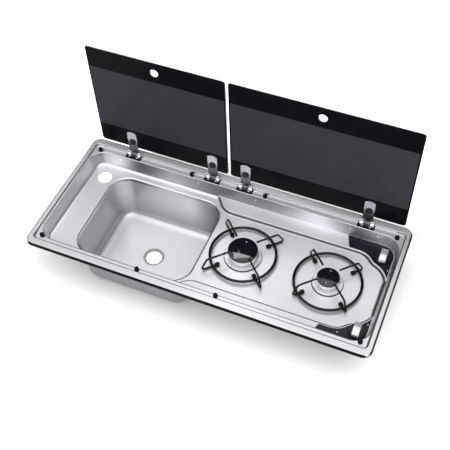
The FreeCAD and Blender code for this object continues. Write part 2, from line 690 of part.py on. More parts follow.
def hinge_bracket(x):
    """Fixed hinge half: slotted foot plate on its pad and two straps that rise over the rim into knuckles."""
    front = PAD_BACK_Y - PAD_DEPTH + FOOT_PLATE_MARGIN
    bend = PAD_BACK_Y - STRAP_START
    half = PAD_WIDTH / 2 - FOOT_PLATE_MARGIN
    slot = FOOT_PLATE_SLOT / 2
    foot = box(x - half, x + half, front, bend, PAD_TOP, FOOT_PLATE_TOP)
    solids = [foot.cut(box(x - slot, x + slot, front, bend - FOOT_PLATE_BAR, PAD_TOP, FOOT_PLATE_TOP))]
    slope = math.atan2(PIN_Z - PAD_TOP - STRAP / 2, PIN_Y - bend)
    lift = STRAP / math.cos(slope)
    strap = [Vec(0, bend - STRAP, PAD_TOP), Vec(0, bend, PAD_TOP), Vec(0, PIN_Y, PIN_Z - STRAP / 2),
             Vec(0, PIN_Y, PIN_Z - STRAP / 2 + lift), Vec(0, bend - STRAP, FOOT_PLATE_TOP)]
    for start in (x - BRACKET_HALF, x + BRACKET_HALF - KNUCKLE_LENGTH):
        plate = polygon(strap).extrude(Vec(KNUCKLE_LENGTH, 0, 0))
        plate.translate(Vec(start, 0, 0))
        solids.append(plate)
        end = start + KNUCKLE_LENGTH
        solids.append(rod(KNUCKLE_RADIUS, Vec(start, PIN_Y, PIN_Z), Vec(end, PIN_Y, PIN_Z)))
    holes = [rod(PIN_RADIUS, Vec(x - BIG, PIN_Y, PIN_Z), Vec(x + BIG, PIN_Y, PIN_Z))]
    for spot in hinge_screw_spots():
        holes.append(Part.makeCylinder(HINGE_SCREW_SHANK + BOLT_CLEARANCE, PIN_HEIGHT, spot))
    return fuse(solids).cut(holes)


def hinge_pin(x):
    """Pin pressed into the two knuckles of a bracket."""
    half = BRACKET_HALF + PIN_STUB
    return rod(PIN_RADIUS, Vec(x - half, PIN_Y, PIN_Z), Vec(x + half, PIN_Y, PIN_Z))


def hinge_leaf(x):
    """Turning hinge half: knuckle on the pin, neck and a plate with an arched top in front of the glass."""
    low = PIN_Z + LEAF_SHOULDER
    half = LEAF_WIDTH / 2
    corners = [Vec(-half, LEAF_TOP - LEAF_ARCH, 0), Vec(-half, low, 0), Vec(half, low, 0),
               Vec(half, LEAF_TOP - LEAF_ARCH, 0)]
    edges = [Part.LineSegment(begin, end).toShape() for begin, end in zip(corners, corners[1:])]
    edges.append(Part.Arc(corners[3], Vec(0, LEAF_TOP, 0), corners[0]).toShape())
    plate = Part.Face(Part.Wire(edges)).extrude(Vec(0, 0, LEAF))
    neck = box(-LEAF_KNUCKLE_LENGTH / 2, LEAF_KNUCKLE_LENGTH / 2, PIN_Z, low, 0, LEAF)
    leaf = to_front(fuse([plate, neck]), x, LEAF_BACK_Y, 0)
    start = Vec(x - LEAF_KNUCKLE_LENGTH / 2, PIN_Y, PIN_Z)
    end = Vec(x + LEAF_KNUCKLE_LENGTH / 2, PIN_Y, PIN_Z)
    bolt = rod(BOLT_RADIUS + BOLT_CLEARANCE, Vec(x, 0, CAP_HEIGHT), Vec(x, BIG, CAP_HEIGHT))
    bore = rod(PIN_RADIUS + PIN_CLEARANCE, start, end)
    return fuse([leaf, rod(LEAF_KNUCKLE_RADIUS, start, end)]).cut([bore, bolt])


def leaf_gaskets(xs):
    """Thin pads between the hinge leaves and the glass."""
    half = LEAF_WIDTH / 2 - GASKET_MARGIN
    pads = []
    for x in xs:
        pad = rounded_block(-half, half, LID_BOTTOM + GASKET_MARGIN, LEAF_TOP - LEAF_ARCH - GASKET_MARGIN,
                            GASKET_MARGIN, 0, GASKET)
        hole = Part.makeCylinder(BOLT_RADIUS + BOLT_CLEARANCE, GASKET, Vec(0, CAP_HEIGHT, 0))
        pads.append(to_front(pad.cut(hole), x, LID_FACE_Y, 0))
    return Part.makeCompound(pads)


def lid_screws(xs):
    """Screws that hold the hinge leaves to the glass: round cap in front, nut disc behind."""
    grip = GLASS + GASKET + LEAF
    profile = [(0, -NUT_THICK), (NUT_RADIUS, -NUT_THICK), (NUT_RADIUS, 0), (BOLT_RADIUS, 0),
               (BOLT_RADIUS, grip), (CAP_RADIUS, grip), (CAP_RADIUS, grip + CAP_THICK - CAP_ROUND),
               (CAP_RADIUS - CAP_ROUND, grip + CAP_THICK), (0, grip + CAP_THICK)]
    screws = [to_front(revolve(profile, Vec(0, 0, 0)), x, LID_BACK_Y, CAP_HEIGHT) for x in xs]
    return Part.makeCompound(screws)


def lid_glass(left, right, hinge_xs):
    """Upright glass pane with polished edges, a finger hole and the hinge screw holes."""
    pane = rounded_block(left, right, LID_BOTTOM, LID_TOP, GLASS_CORNER, 0, GLASS)
    pane = pane.makeFillet(GLASS_EDGE, flat_edges(pane, 0) + flat_edges(pane, GLASS))
    holes = [Part.makeCylinder(FINGER_RADIUS, GLASS, Vec((left + right) / 2, LID_TOP - FINGER_DROP, 0))]
    for x in hinge_xs:
        holes.append(Part.makeCylinder(BOLT_RADIUS + BOLT_CLEARANCE, GLASS, Vec(x, CAP_HEIGHT, 0)))
    return to_front(pane.cut(holes), 0, LID_BACK_Y, 0)


def control_panel(side, tap_y):
    """Black plate on the raised border in a right-hand corner; side is 1 at the back and -1 at the front."""
    plate = Part.Face(border_wire(-PANEL_EDGE_GAP, BORDER_TOP)).extrude(Vec(0, 0, PANEL))
    walls = Part.Face(well_outline(BORDER_TOP, -PANEL_WALL_GAP)).extrude(Vec(0, 0, PANEL))
    reach = HOB_BACK - HOB_MIDDLE
    tip = reach - PANEL_TIP
    left = PANEL_LEFT + PANEL_SLANT * PANEL_TIP
    far = PANEL_LEFT - PANEL_SLANT * reach
    corners = [(left, tip), (BIG, tip), (BIG, 2 * reach), (far, 2 * reach)]
    clip = polygon([Vec(x, HOB_MIDDLE + side * y, BORDER_TOP) for x, y in corners])
    clip = clip.extrude(Vec(0, 0, PANEL))
    hole = Part.makeCylinder(PANEL_HOLE_RADIUS, PANEL, Vec(TAP_X, tap_y, BORDER_TOP))
    return plate.common(walls).common(clip).cut(hole)


def gas_tap(y):
    """Tap body under the border, with a bore for the push stem and an outlet boss."""
    half_x = TAP_BODY_X / 2
    half_y = TAP_BODY_Y / 2
    body = rounded_block(TAP_X - half_x, TAP_X + half_x, y - half_y, y + half_y, TAP_BODY_BEVEL,
                         BORDER_UNDER - TAP_BODY_HEIGHT, BORDER_UNDER)
    out = Vec(TAP_X - half_x - TAP_OUTLET_LENGTH, y, GAS_Z)
    boss = rod(TAP_OUTLET_RADIUS, out, Vec(TAP_X - half_x + TAP_BODY_BEVEL, y, GAS_Z))
    socket = rod(FEED_RADIUS, out, out.add(Vec(FEED_SOCKET, 0, 0)))
    floor = STEM_BOTTOM - PUSH_TRAVEL - PUSH_GAP
    bore = Part.makeCylinder(STEM_RADIUS + RUN_CLEARANCE, BORDER_UNDER - floor, Vec(TAP_X, y, floor))
    return fuse([body, boss]).cut([socket, bore])


def tap_stem(y):
    """Sleeve that slides down in the tap body when the knob is pushed."""
    sleeve = Part.makeCylinder(STEM_RADIUS, STEM_LENGTH, Vec(TAP_X, y, STEM_BOTTOM))
    floor = Vec(TAP_X, y, STEM_BOTTOM + STEM_FLOOR)
    return sleeve.cut(Part.makeCylinder(SPINDLE_RADIUS + RUN_CLEARANCE, STEM_LENGTH, floor))


def tap_spindle(y):
    """Spindle that turns in the stem and carries the knob."""
    low = STEM_BOTTOM + STEM_FLOOR + SPINDLE_END_GAP
    return Part.makeCylinder(SPINDLE_RADIUS, SKIRT_TOP + GRIP_SOCKET - low, Vec(TAP_X, y, low))


def knob_skirt(y):
    """Black round base of a knob, hollow underneath, with a hub round the spindle."""
    profile = [(SPINDLE_RADIUS, 0), (HUB_RADIUS, 0), (HUB_RADIUS, SKIRT_HOLLOW),
               (SKIRT_RADIUS - SKIRT_WALL, SKIRT_HOLLOW), (SKIRT_RADIUS - SKIRT_WALL, 0), (SKIRT_RADIUS, 0),
               (SKIRT_TOP_RADIUS, SKIRT_HEIGHT), (SPINDLE_RADIUS, SKIRT_HEIGHT)]
    return revolve(profile, Vec(TAP_X, y, SKIRT_BOTTOM))


def knob_grip(y):
    """Pale grip bar across a knob, arched along its top, with a blind socket for the spindle."""
    side = -GRIP_WIDTH / 2
    half = GRIP_LENGTH / 2
    corners = [Vec(side, half, GRIP_END_HEIGHT), Vec(side, half, 0), Vec(side, -half, 0),
               Vec(side, -half, GRIP_END_HEIGHT)]
    edges = [Part.LineSegment(start, end).toShape() for start, end in zip(corners, corners[1:])]
    edges.append(Part.Arc(corners[3], Vec(side, 0, GRIP_HEIGHT), corners[0]).toShape())
    bar = Part.Face(Part.Wire(edges)).extrude(Vec(GRIP_WIDTH, 0, 0))
    bar = bar.makeFillet(GRIP_ROUND, [edge for edge in bar.Edges if edge.BoundBox.ZMax > GRIP_ROUND])
    bar = bar.cut(Part.makeCylinder(SPINDLE_RADIUS, GRIP_SOCKET))
    bar.translate(Vec(TAP_X, y, SKIRT_TOP))
    return bar


def gas_rail():
    """Supply tube along the taps, with a saddle to each tap and the inlet stub at the back."""
    front = FRONT_TAP_Y - RAIL_OVERHANG
    back = BACK_TAP_Y + RAIL_OVERHANG
    inlet = back + INLET_LENGTH
    solids = [rod(RAIL_RADIUS, Vec(RAIL_X, front, GAS_Z), Vec(RAIL_X, back, GAS_Z)),
              rod(INLET_RADIUS, Vec(RAIL_X, back, GAS_Z), Vec(RAIL_X, inlet, GAS_Z))]
    for y in (FRONT_TAP_Y, BACK_TAP_Y):
        solids.append(box(RAIL_X - SADDLE_DEPTH, RAIL_X, y - SADDLE_LENGTH / 2, y + SADDLE_LENGTH / 2,
                          GAS_Z - SADDLE_HEIGHT / 2, GAS_Z + SADDLE_HEIGHT / 2))
    wall = RAIL_RADIUS - RAIL_BORE
    bores = [rod(RAIL_BORE, Vec(RAIL_X, front + wall, GAS_Z), Vec(RAIL_X, back - wall, GAS_Z)),
             rod(INLET_BORE, Vec(RAIL_X, back - 2 * wall, GAS_Z), Vec(RAIL_X, inlet, GAS_Z))]
    return fuse(solids).cut(bores)


def feed_pipe(tap_y, burner_x):
    """Bent pipe from a tap outlet to the injector socket of a burner cup."""
    side = math.copysign(1.0, tap_y - BURNER_Y)
    start = TAP_X - TAP_BODY_X / 2 - TAP_OUTLET_LENGTH + FEED_SOCKET
    end = BURNER_Y + side * (CUP_RADIUS + INJECTOR_LENGTH - FEED_SOCKET)
    steps = [(start - burner_x - FEED_BEND,), (FEED_BEND, side * 90), (abs(tap_y - end) - FEED_BEND,)]
    way = Part.Wire(trace(Vec(start, tap_y, 0), 180, steps, 0.0, GAS_Z)[0])
    tubes = []
    for radius in (FEED_RADIUS, FEED_BORE):
        ring = Part.Wire(Part.makeCircle(radius, Vec(start, tap_y, GAS_Z), X_AXIS))
        tubes.append(way.makePipeShell([ring], True, False))
    return tubes[0].cut(tubes[1])


def burner_cup(x, turn):
    """Cup under a burner seat, its injector socket towards the front before it is turned to its feed pipe."""
    top = BOSS_TOP - SHEET
    inside = CUP_RADIUS - CUP_WALL
    profile = [(0, top - CUP_DEPTH), (CUP_RADIUS, top - CUP_DEPTH), (CUP_RADIUS, top - CUP_FLANGE_THICK),
               (CUP_RADIUS + CUP_FLANGE, top - CUP_FLANGE_THICK), (CUP_RADIUS + CUP_FLANGE, top), (0, top)]
    face = -CUP_RADIUS - INJECTOR_LENGTH
    injector = rod(INJECTOR_RADIUS, Vec(0, -inside - CUP_WALL / 2, GAS_Z), Vec(0, face, GAS_Z))
    hollow = Part.makeCylinder(inside, CUP_DEPTH, Vec(0, 0, top - CUP_DEPTH + CUP_WALL))
    socket = rod(FEED_RADIUS, Vec(0, face + FEED_SOCKET, GAS_Z), Vec(0, face, GAS_Z))
    jet = rod(FEED_BORE, Vec(0, 0, GAS_Z), Vec(0, face, GAS_Z))
    cup = fuse([revolve(profile, Vec(0, 0, 0)), injector]).cut([hollow, socket, jet])
    cup.rotate(Vec(0, 0, 0), Z_AXIS, turn)
    cup.translate(Vec(x, BURNER_Y, 0))
    return cup


def flame_ring(x, radius, slots):
    """Aluminium burner head on its seat: spigot below, flared wall with flame slots round the top."""
    wall = radius - FLAME_RING_WALL
    profile = [(radius - FLAME_RING_FLARE, 0), (radius, FLAME_RING_FLARE_HEIGHT), (radius, FLAME_RING_HEIGHT),
               (wall, FLAME_RING_HEIGHT), (wall, FLAME_RING_FLOOR), (THROAT_RADIUS, FLAME_RING_FLOOR),
               (THROAT_RADIUS, -SPIGOT_DEPTH), (SPIGOT_RADIUS, -SPIGOT_DEPTH), (SPIGOT_RADIUS, 0)]
    head = revolve(profile, Vec(0, 0, 0))
    cuts = []
    for index in range(slots):
        slot = box(wall - FLAME_SLOT_WIDTH, radius + FLAME_SLOT_WIDTH,
                   -FLAME_SLOT_WIDTH / 2, FLAME_SLOT_WIDTH / 2,
                   FLAME_RING_HEIGHT - FLAME_SLOT_DEPTH, FLAME_RING_HEIGHT + FLAME_SLOT_DEPTH)
        slot.rotate(Vec(0, 0, 0), Z_AXIS, 360.0 * index / slots)
        cuts.append(slot)
    head = head.cut(cuts)
    head.translate(Vec(x, BURNER_Y, BOSS_TOP))
    return head


def burner_cap(x, radius):
    """Enamelled disc on a flame ring, slightly crowned, with a locating lip inside the ring."""
    lip = radius - BURNER_CAP_OVERHANG - FLAME_RING_WALL - BURNER_CAP_LIP_GAP
    edge = Vec(radius, 0, BURNER_CAP_THICK)
    top = Vec(0, 0, BURNER_CAP_THICK + BURNER_CAP_CROWN)
    ball = (radius * radius + BURNER_CAP_CROWN * BURNER_CAP_CROWN) / (2 * BURNER_CAP_CROWN)
    sag = ball - math.sqrt(ball * ball - radius * radius / 4)
    middle = Vec(radius / 2, 0, BURNER_CAP_THICK + BURNER_CAP_CROWN - sag)
    corners = [top, Vec(0, 0, -BURNER_CAP_LIP), Vec(lip, 0, -BURNER_CAP_LIP), Vec(lip, 0, 0),
               Vec(radius, 0, 0), edge]
    edges = [Part.LineSegment(begin, end).toShape() for begin, end in zip(corners, corners[1:])]
    edges.append(Part.Arc(edge, middle, top).toShape())
    cap = Part.Face(Part.Wire(edges)).revolve(Vec(0, 0, 0), Z_AXIS, 360)
    cap = cap.makeFillet(BURNER_CAP_ROUND, flat_edges(cap, BURNER_CAP_THICK))
    cap.translate(Vec(x, BURNER_Y, FLAME_TOP))
    return cap


def probe_spot(x, ring_radius, angle):
    """Point on a burner seat beside the flame ring."""
    turn = math.radians(angle)
    reach = ring_radius + PROBE_GAP
    return Vec(x + reach * math.cos(turn), BURNER_Y + reach * math.sin(turn), BOSS_TOP)


def electrode(x, ring_radius):
    """Igniter: ceramic rod through the seat, with a collar and a thin metal tip."""
    top = FLAME_RING_HEIGHT - PROBE_TOP_DROP
    collar = ELECTRODE_RADIUS + PROBE_COLLAR
    profile = [(0, -PROBE_DEPTH), (ELECTRODE_RADIUS, -PROBE_DEPTH), (ELECTRODE_RADIUS, 0), (collar, 0),
               (collar, PROBE_COLLAR_THICK),
               (ELECTRODE_RADIUS, PROBE_COLLAR_THICK), (ELECTRODE_RADIUS, top / 2),
               (ELECTRODE_TIP_RADIUS, top / 2), (ELECTRODE_TIP_RADIUS, top), (0, top)]
    return revolve(profile, probe_spot(x, ring_radius, ELECTRODE_ANGLE))


def thermocouple(x, ring_radius):
    """Flame sensor: metal rod through the seat, with a collar and a pointed tip."""
    top = FLAME_RING_HEIGHT - PROBE_TOP_DROP
    collar = THERMOCOUPLE_RADIUS + PROBE_COLLAR
    profile = [(0, -PROBE_DEPTH), (THERMOCOUPLE_RADIUS, -PROBE_DEPTH), (THERMOCOUPLE_RADIUS, 0), (collar, 0),
               (collar, PROBE_COLLAR_THICK), (THERMOCOUPLE_RADIUS, PROBE_COLLAR_THICK),
               (THERMOCOUPLE_RADIUS, top - THERMOCOUPLE_RADIUS), (0, top)]
    return revolve(profile, probe_spot(x, ring_radius, THERMOCOUPLE_ANGLE))


def bent_wire(radius, points, bend):
    """Round wire through points in a plane, with rounded corners."""
    edges = []
    last = points[0]
    for before, corner, after in zip(points, points[1:], points[2:]):
        into = corner.sub(before).normalize()
        out = after.sub(corner).normalize()
        turn = into.getAngle(out)
        cut = bend * math.tan(turn / 2)
        begin = corner.sub(into * cut)
        end = corner.add(out * cut)
        inward = out.sub(into).normalize()
        middle = corner.add(inward * (bend / math.cos(turn / 2) - bend))
        edges.append(Part.LineSegment(last, begin).toShape())
        edges.append(Part.Arc(begin, middle, end).toShape())
        last = end
    edges.append(Part.LineSegment(last, points[-1]).toShape())
    ring = Part.Wire(Part.makeCircle(radius, points[0], points[1].sub(points[0])))
    return Part.Wire(edges).makePipeShell([ring], True, False)


def pan_support(x, inner, outer, foot):
    """Wire pan support: round ring on four hairpin prongs."""
    path = [Vec(inner, 0, WIRE_HIGH), Vec(outer, 0, WIRE_HIGH), Vec(foot, 0, WIRE_LOW),
            Vec(FOOT_X - FOOT_LENGTH / 2 + FOOT_GRIP, 0, WIRE_LOW)]
    ring_z = WIRE_LOW + PRONG_WIRE + RING_WIRE - WELD_SINK
    solids = [Part.makeTorus(RING_RADIUS, RING_WIRE, Vec(0, 0, ring_z))]
    for angle in PRONG_ANGLES:
        prong = bent_wire(PRONG_WIRE, path, PRONG_BEND)
        prong.rotate(Vec(0, 0, 0), Z_AXIS, angle)
        solids.append(prong)
    support = solids[0].multiFuse(solids[1:])
    support.translate(Vec(x, BURNER_Y, 0))
    return support


def support_feet(x):
    """Rubber feet on the ends of the prongs, flat where they stand on the deck."""
    feet = []
    start = FOOT_X - FOOT_LENGTH / 2
    for angle in PRONG_ANGLES:
        foot = rod(FOOT_RADIUS, Vec(start, 0, WIRE_LOW), Vec(start + FOOT_LENGTH, 0, WIRE_LOW))
        foot = foot.makeFillet(FOOT_ROUND, [edge for edge in foot.Edges if edge.Closed])
        foot = foot.cut(rod(PRONG_WIRE, Vec(start + FOOT_GRIP, 0, WIRE_LOW), Vec(BIG, 0, WIRE_LOW)))
        foot = foot.cut(box(-BIG, BIG, -BIG, BIG, DECK_TOP - FOOT_RADIUS, DECK_TOP))
        foot.rotate(Vec(0, 0, 0), Z_AXIS, angle)
        foot.translate(Vec(x, BURNER_Y, 0))
        feet.append(foot)
    return Part.makeCompound(feet)


def all_parts():
    """Every node of the assembly by name."""
    parts = {"top_pressing": top_pressing(), "sink_bowl": sink_bowl(), "rim_seal": rim_seal(),
             "lid_buffers": lid_buffers(), "hinge_pads": hinge_pads(), "hinge_screws": hinge_screws()}
    names = ("sink_left", "sink_right", "hob_left", "hob_right")
    for name, x in zip(names, HINGE_XS):
        parts[name + "_hinge_bracket"] = hinge_bracket(x)
        parts[name + "_hinge_pin"] = hinge_pin(x)
        parts[name + "_hinge_leaf"] = hinge_leaf(x)
    lids = (("sink", SINK_LID_LEFT, SINK_LID_RIGHT, HINGE_XS[:2]),
            ("hob", HOB_LID_LEFT, HOB_LID_RIGHT, HINGE_XS[2:]))
    for name, left, right, xs in lids:
        parts[name + "_lid_glass"] = lid_glass(left, right, xs)
        parts[name + "_lid_gaskets"] = leaf_gaskets(xs)
        parts[name + "_lid_screws"] = lid_screws(xs)
    for name, side, y in (("back", 1, BACK_TAP_Y), ("front", -1, FRONT_TAP_Y)):
        parts[name + "_control_panel"] = control_panel(side, y)
        parts[name + "_gas_tap"] = gas_tap(y)
        parts[name + "_tap_stem"] = tap_stem(y)
        parts[name + "_tap_spindle"] = tap_spindle(y)
        parts[name + "_knob_skirt"] = knob_skirt(y)
        parts[name + "_knob_grip"] = knob_grip(y)
    parts["gas_rail"] = gas_rail()
    burners = (("left", LEFT_BURNER_X, LEFT_CAP_RADIUS, LEFT_RING_RADIUS, LEFT_FLAME_SLOTS, BACK_TAP_Y,
                LEFT_PRONG_INNER, LEFT_PRONG_OUTER, LEFT_PRONG_FOOT),
               ("right", RIGHT_BURNER_X, RIGHT_CAP_RADIUS, RIGHT_RING_RADIUS, RIGHT_FLAME_SLOTS, FRONT_TAP_Y,
                RIGHT_PRONG_INNER, RIGHT_PRONG_OUTER, RIGHT_PRONG_FOOT))
    for name, x, cap, ring, slots, tap_y, inner, outer, foot in burners:
        parts[name + "_feed_pipe"] = feed_pipe(tap_y, x)
        parts[name + "_burner_cup"] = burner_cup(x, 180.0 if tap_y > BURNER_Y else 0.0)
        parts[name + "_flame_ring"] = flame_ring(x, ring, slots)
        parts[name + "_burner_cap"] = burner_cap(x, cap)
        parts[name + "_electrode"] = electrode(x, ring)
        parts[name + "_thermocouple"] = thermocouple(x, ring)
        parts[name + "_pan_support"] = pan_support(x, inner, outer, foot)
        parts[name + "_pan_support_feet"] = support_feet(x)
    return parts


os.makedirs("parts", exist_ok=True)
for node, shape in all_parts().items():
    shape.exportStep("parts/" + node + ".step")
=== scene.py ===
"""Looks of the built-in hob and sink unit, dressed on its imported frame. Metres, in the frame's own axes."""
import logging
import math
from abc import ABC, abstractmethod
from dataclasses import dataclass, field
from enum import Enum
from typing import Dict, List, Tuple

import bpy
import numpy as np
from mathutils import Matrix, Quaternion, Vector


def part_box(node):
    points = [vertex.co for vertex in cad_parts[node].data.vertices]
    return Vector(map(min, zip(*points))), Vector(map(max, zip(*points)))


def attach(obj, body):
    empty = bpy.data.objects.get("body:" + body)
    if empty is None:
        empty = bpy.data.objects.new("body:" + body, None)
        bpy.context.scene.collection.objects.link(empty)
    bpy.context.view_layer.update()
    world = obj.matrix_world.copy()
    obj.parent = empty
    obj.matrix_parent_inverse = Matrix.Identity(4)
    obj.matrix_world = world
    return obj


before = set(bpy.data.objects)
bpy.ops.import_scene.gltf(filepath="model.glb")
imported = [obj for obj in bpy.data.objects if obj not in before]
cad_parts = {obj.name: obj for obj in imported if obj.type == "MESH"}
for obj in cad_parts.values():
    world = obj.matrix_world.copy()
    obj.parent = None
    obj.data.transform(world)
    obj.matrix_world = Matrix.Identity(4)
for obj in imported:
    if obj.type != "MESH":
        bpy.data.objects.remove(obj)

logging.basicConfig(level=logging.INFO, format="%(levelname)s %(message)s")
LOG = logging.getLogger("hob_and_sink")

Colour = Tuple[float, float, float]
Point = Tuple[float, float, float]
WHITE = (1.0, 1.0, 1.0, 1.0)


def even(scale: float) -> Point:
    """The same scale along all three axes."""
    return (scale, scale, scale)


class Streak(Enum):
    """Way that the brushed lines of a metal run."""

    ALONG_X = (6.0, 420.0, 420.0)
    ALONG_Z = (1500.0, 1500.0, 12.0)
    NONE = (900.0, 900.0, 900.0)


class Graph:
    """Builds one node material, a node at a time."""

    def __init__(self, name: str) -> None:
        """Start a material with its principled shader.

        Args:
            name: name of the new material.
        """
        self.material = bpy.data.materials.new(name)
        self.material.use_nodes = True
        self.tree = self.material.node_tree
        self.shader = self.tree.nodes["Principled BSDF"]

    def put(self, socket: bpy.types.NodeSocket, value: object) -> None:
        """Link an output to a socket, or set the socket's own value.

        Args:
            socket: input to fill.
            value: an output socket, or a plain value.
        """
        if isinstance(value, bpy.types.NodeSocket):
            self.tree.links.new(value, socket)
        else:
            socket.default_value = value

    def coordinates(self, scale: Point = (1.0, 1.0, 1.0)) -> bpy.types.NodeSocket:
        """Object coordinates times a scale.

        Args:
            scale: factor along each axis.

        Returns:
            The vector output.
        """
        place = self.tree.nodes.new("ShaderNodeTexCoord")
        mapping = self.tree.nodes.new("ShaderNodeMapping")
        mapping.inputs["Scale"].default_value = scale
        self.put(mapping.inputs["Vector"], place.outputs["Object"])
        return mapping.outputs["Vector"]

    def place(self, axis: str) -> bpy.types.NodeSocket:
        """Object coordinate along one axis.

        Args:
            axis: letter of the axis.

        Returns:
            The value output.
        """
        split = self.tree.nodes.new("ShaderNodeSeparateXYZ")
        self.put(split.inputs[0], self.coordinates())
        return split.outputs[axis]

    def distance(self, spot: Tuple[float, float]) -> bpy.types.NodeSocket:
        """Level distance from one spot.

        Args:
            spot: plan place of the spot.

        Returns:
            The value output.
        """
        across = self.math("POWER", self.math("SUBTRACT", self.place("X"), spot[0]), 2.0)
        along = self.math("POWER", self.math("SUBTRACT", self.place("Y"), spot[1]), 2.0)
        return self.math("SQRT", self.math("ADD", across, along))

    def noise(self, scale: Point, detail: float = 3.0, strength: float = 0.55) -> bpy.types.NodeSocket:
        """Soft random pattern from 0 to 1.

        Args:
            scale: fineness along each axis, per metre.
            detail: number of finer layers.
            strength: share of the finer layers.

        Returns:
            The factor output.
        """
        node = self.tree.nodes.new("ShaderNodeTexNoise")
        self.put(node.inputs["Vector"], self.coordinates(scale))
        node.inputs["Scale"].default_value = 1.0
        node.inputs["Detail"].default_value = detail
        node.inputs["Roughness"].default_value = strength
        return node.outputs["Fac"]

    def math(self, operation: str, first: object, second: object = 0.0) -> bpy.types.NodeSocket:
        """One sum on numbers.

        Args:
            operation: name of the sum.
            first: an output or a number.
            second: an output or a number.

        Returns:
            The value output.
        """
        node = self.tree.nodes.new("ShaderNodeMath")
        node.operation = operation
        self.put(node.inputs[0], first)
        self.put(node.inputs[1], second)
        return node.outputs[0]

    def spread(self, factor: object, low: float, high: float) -> bpy.types.NodeSocket:
        """Stretch a factor from 0..1 to low..high.

        Args:
            factor: an output from 0 to 1.
            low: value at 0.
            high: value at 1.

        Returns:
            The value output.
        """
        node = self.tree.nodes.new("ShaderNodeMapRange")
        self.put(node.inputs["Value"], factor)
        node.inputs["To Min"].default_value = low
        node.inputs["To Max"].default_value = high
        return node.outputs["Result"]

    def rise(self, value: object, start: float, end: float) -> bpy.types.NodeSocket:
        """Soft step from 0 to 1.

        Args:
            value: an output.
            start: value below which the step is 0.
            end: value above which the step is 1.

        Returns:
            The value output.
        """
        node = self.tree.nodes.new("ShaderNodeMapRange")
        node.interpolation_type = "SMOOTHSTEP"
        self.put(node.inputs["Value"], value)
        node.inputs["From Min"].default_value = start
        node.inputs["From Max"].default_value = end
        return node.outputs["Result"]

    def mix(self, factor: object, first: object, second: object) -> bpy.types.NodeSocket:
        """Blend two colours.

        Args:
            factor: share of the second colour.
            first: an output or a colour.
            second: an output or a colour.

        Returns:
            The colour output.
        """
        node = self.tree.nodes.new("ShaderNodeMix")
        node.data_type = "RGBA"
        self.put(node.inputs["Factor"], factor)
        for key, value in (("A", first), ("B", second)):
            socket = [s for s in node.inputs if s.name == key and s.type == "RGBA"][0]
            self.put(socket, (*value, 1.0) if isinstance(value, tuple) else value)
        return [s for s in node.outputs if s.type == "RGBA"][0]

    def vector(self, value: Point) -> bpy.types.NodeSocket:
        """A fixed direction.

        Args:
            value: the direction.

        Returns:
            The vector output.
        """
        node = self.tree.nodes.new("ShaderNodeCombineXYZ")
        for socket, part in zip(node.inputs, value):
            socket.default_value = part
        return node.outputs[0]

    def upright(self, reach: float = 1.0) -> bpy.types.NodeSocket:
        """How steep the surface is.

        Args:
            reach: drop of the normal's height at which the surface counts as upright.

        Returns:
            Output that is 0 where the surface is level and 1 where it is steep.
        """
        place = self.tree.nodes.new("ShaderNodeNewGeometry")
        split = self.tree.nodes.new("ShaderNodeSeparateXYZ")
        self.put(split.inputs[0], place.outputs["Normal"])
        drop = self.math("SUBTRACT", 1.0, self.math("ABSOLUTE", split.outputs["Z"]))
        return self.math("MINIMUM", 1.0, self.math("DIVIDE", drop, reach))

    def facing(self, way: Point, start: float, end: float) -> bpy.types.NodeSocket:
        """How far the surface turns to one side.

        Args:
            way: the direction.
            start: share of the direction in the normal below which the result is 0.
            end: share above which the result is 1.

        Returns:
            Output from 0 to 1.
        """
        place = self.tree.nodes.new("ShaderNodeNewGeometry")
        product = self.tree.nodes.new("ShaderNodeVectorMath")
        product.operation = "DOT_PRODUCT"
        product.inputs[1].default_value = way
        self.put(product.inputs[0], place.outputs["Normal"])
        return self.rise(product.outputs["Value"], start, end)

    def bump(self, height: object, strength: float, distance: float) -> None:
        """Roughen the shader's surface.

        Args:
            height: an output from 0 to 1.
            strength: share of the effect.
            distance: height of the pattern in metres.
        """
        node = self.tree.nodes.new("ShaderNodeBump")
        node.inputs["Strength"].default_value = strength
        node.inputs["Distance"].default_value = distance
        self.put(node.inputs["Height"], height)
        self.put(self.shader.inputs["Normal"], node.outputs["Normal"])

    def set(self, **values: object) -> None:
        """Fill inputs of the shader by name, with underscores for spaces."""
        for name, value in values.items():
            self.put(self.shader.inputs[name.replace("_", " ")], value)


@dataclass(frozen=True)
class Finish:
    """Even surface with a slight random change of colour and gloss."""

    name: str
    colour: Colour
    roughness: float
    metallic: float = 0.0
    specular: float = 0.5
    coat: float = 0.0
    variation: float = 0.12
    grain: float = 160.0
    relief: float = 0.0
    relief_strength: float = 0.4

    def shade(self, factor: float) -> Colour:
        """Colour times a factor, with every channel kept at 1 or below."""
        return tuple(min(1.0, channel * factor) for channel in self.colour)

    def pattern(self, graph: Graph) -> bpy.types.NodeSocket:
        """Random pattern of this finish, as a factor output."""
        return graph.noise(even(self.grain))

    def varied_colour(self, graph: Graph, factor: object) -> bpy.types.NodeSocket:
        """Colour output that changes a little with the pattern's factor."""
        return graph.mix(factor, self.shade(1 - self.variation), self.shade(1 + self.variation))

    def varied_roughness(self, graph: Graph, factor: object) -> bpy.types.NodeSocket:
        """Roughness that changes a little with the pattern.

        Args:
            graph: material to add to.
            factor: output of the pattern.

        Returns:
            The value output.
        """
        low = self.roughness * (1 - self.variation)
        high = self.roughness * (1 + self.variation)
        return graph.spread(factor, low, high)

    def material(self) -> bpy.types.Material:
        """Make the node material.

        Returns:
            The material.
        """
        graph = Graph(self.name)
        factor = self.pattern(graph)
        graph.set(Base_Color=self.varied_colour(graph, factor))
        graph.set(Roughness=self.varied_roughness(graph, factor))
        graph.set(Metallic=self.metallic, Specular_IOR_Level=self.specular, Coat_Weight=self.coat)
        if self.relief:
            graph.bump(factor, self.relief_strength, self.relief)
        return graph.material


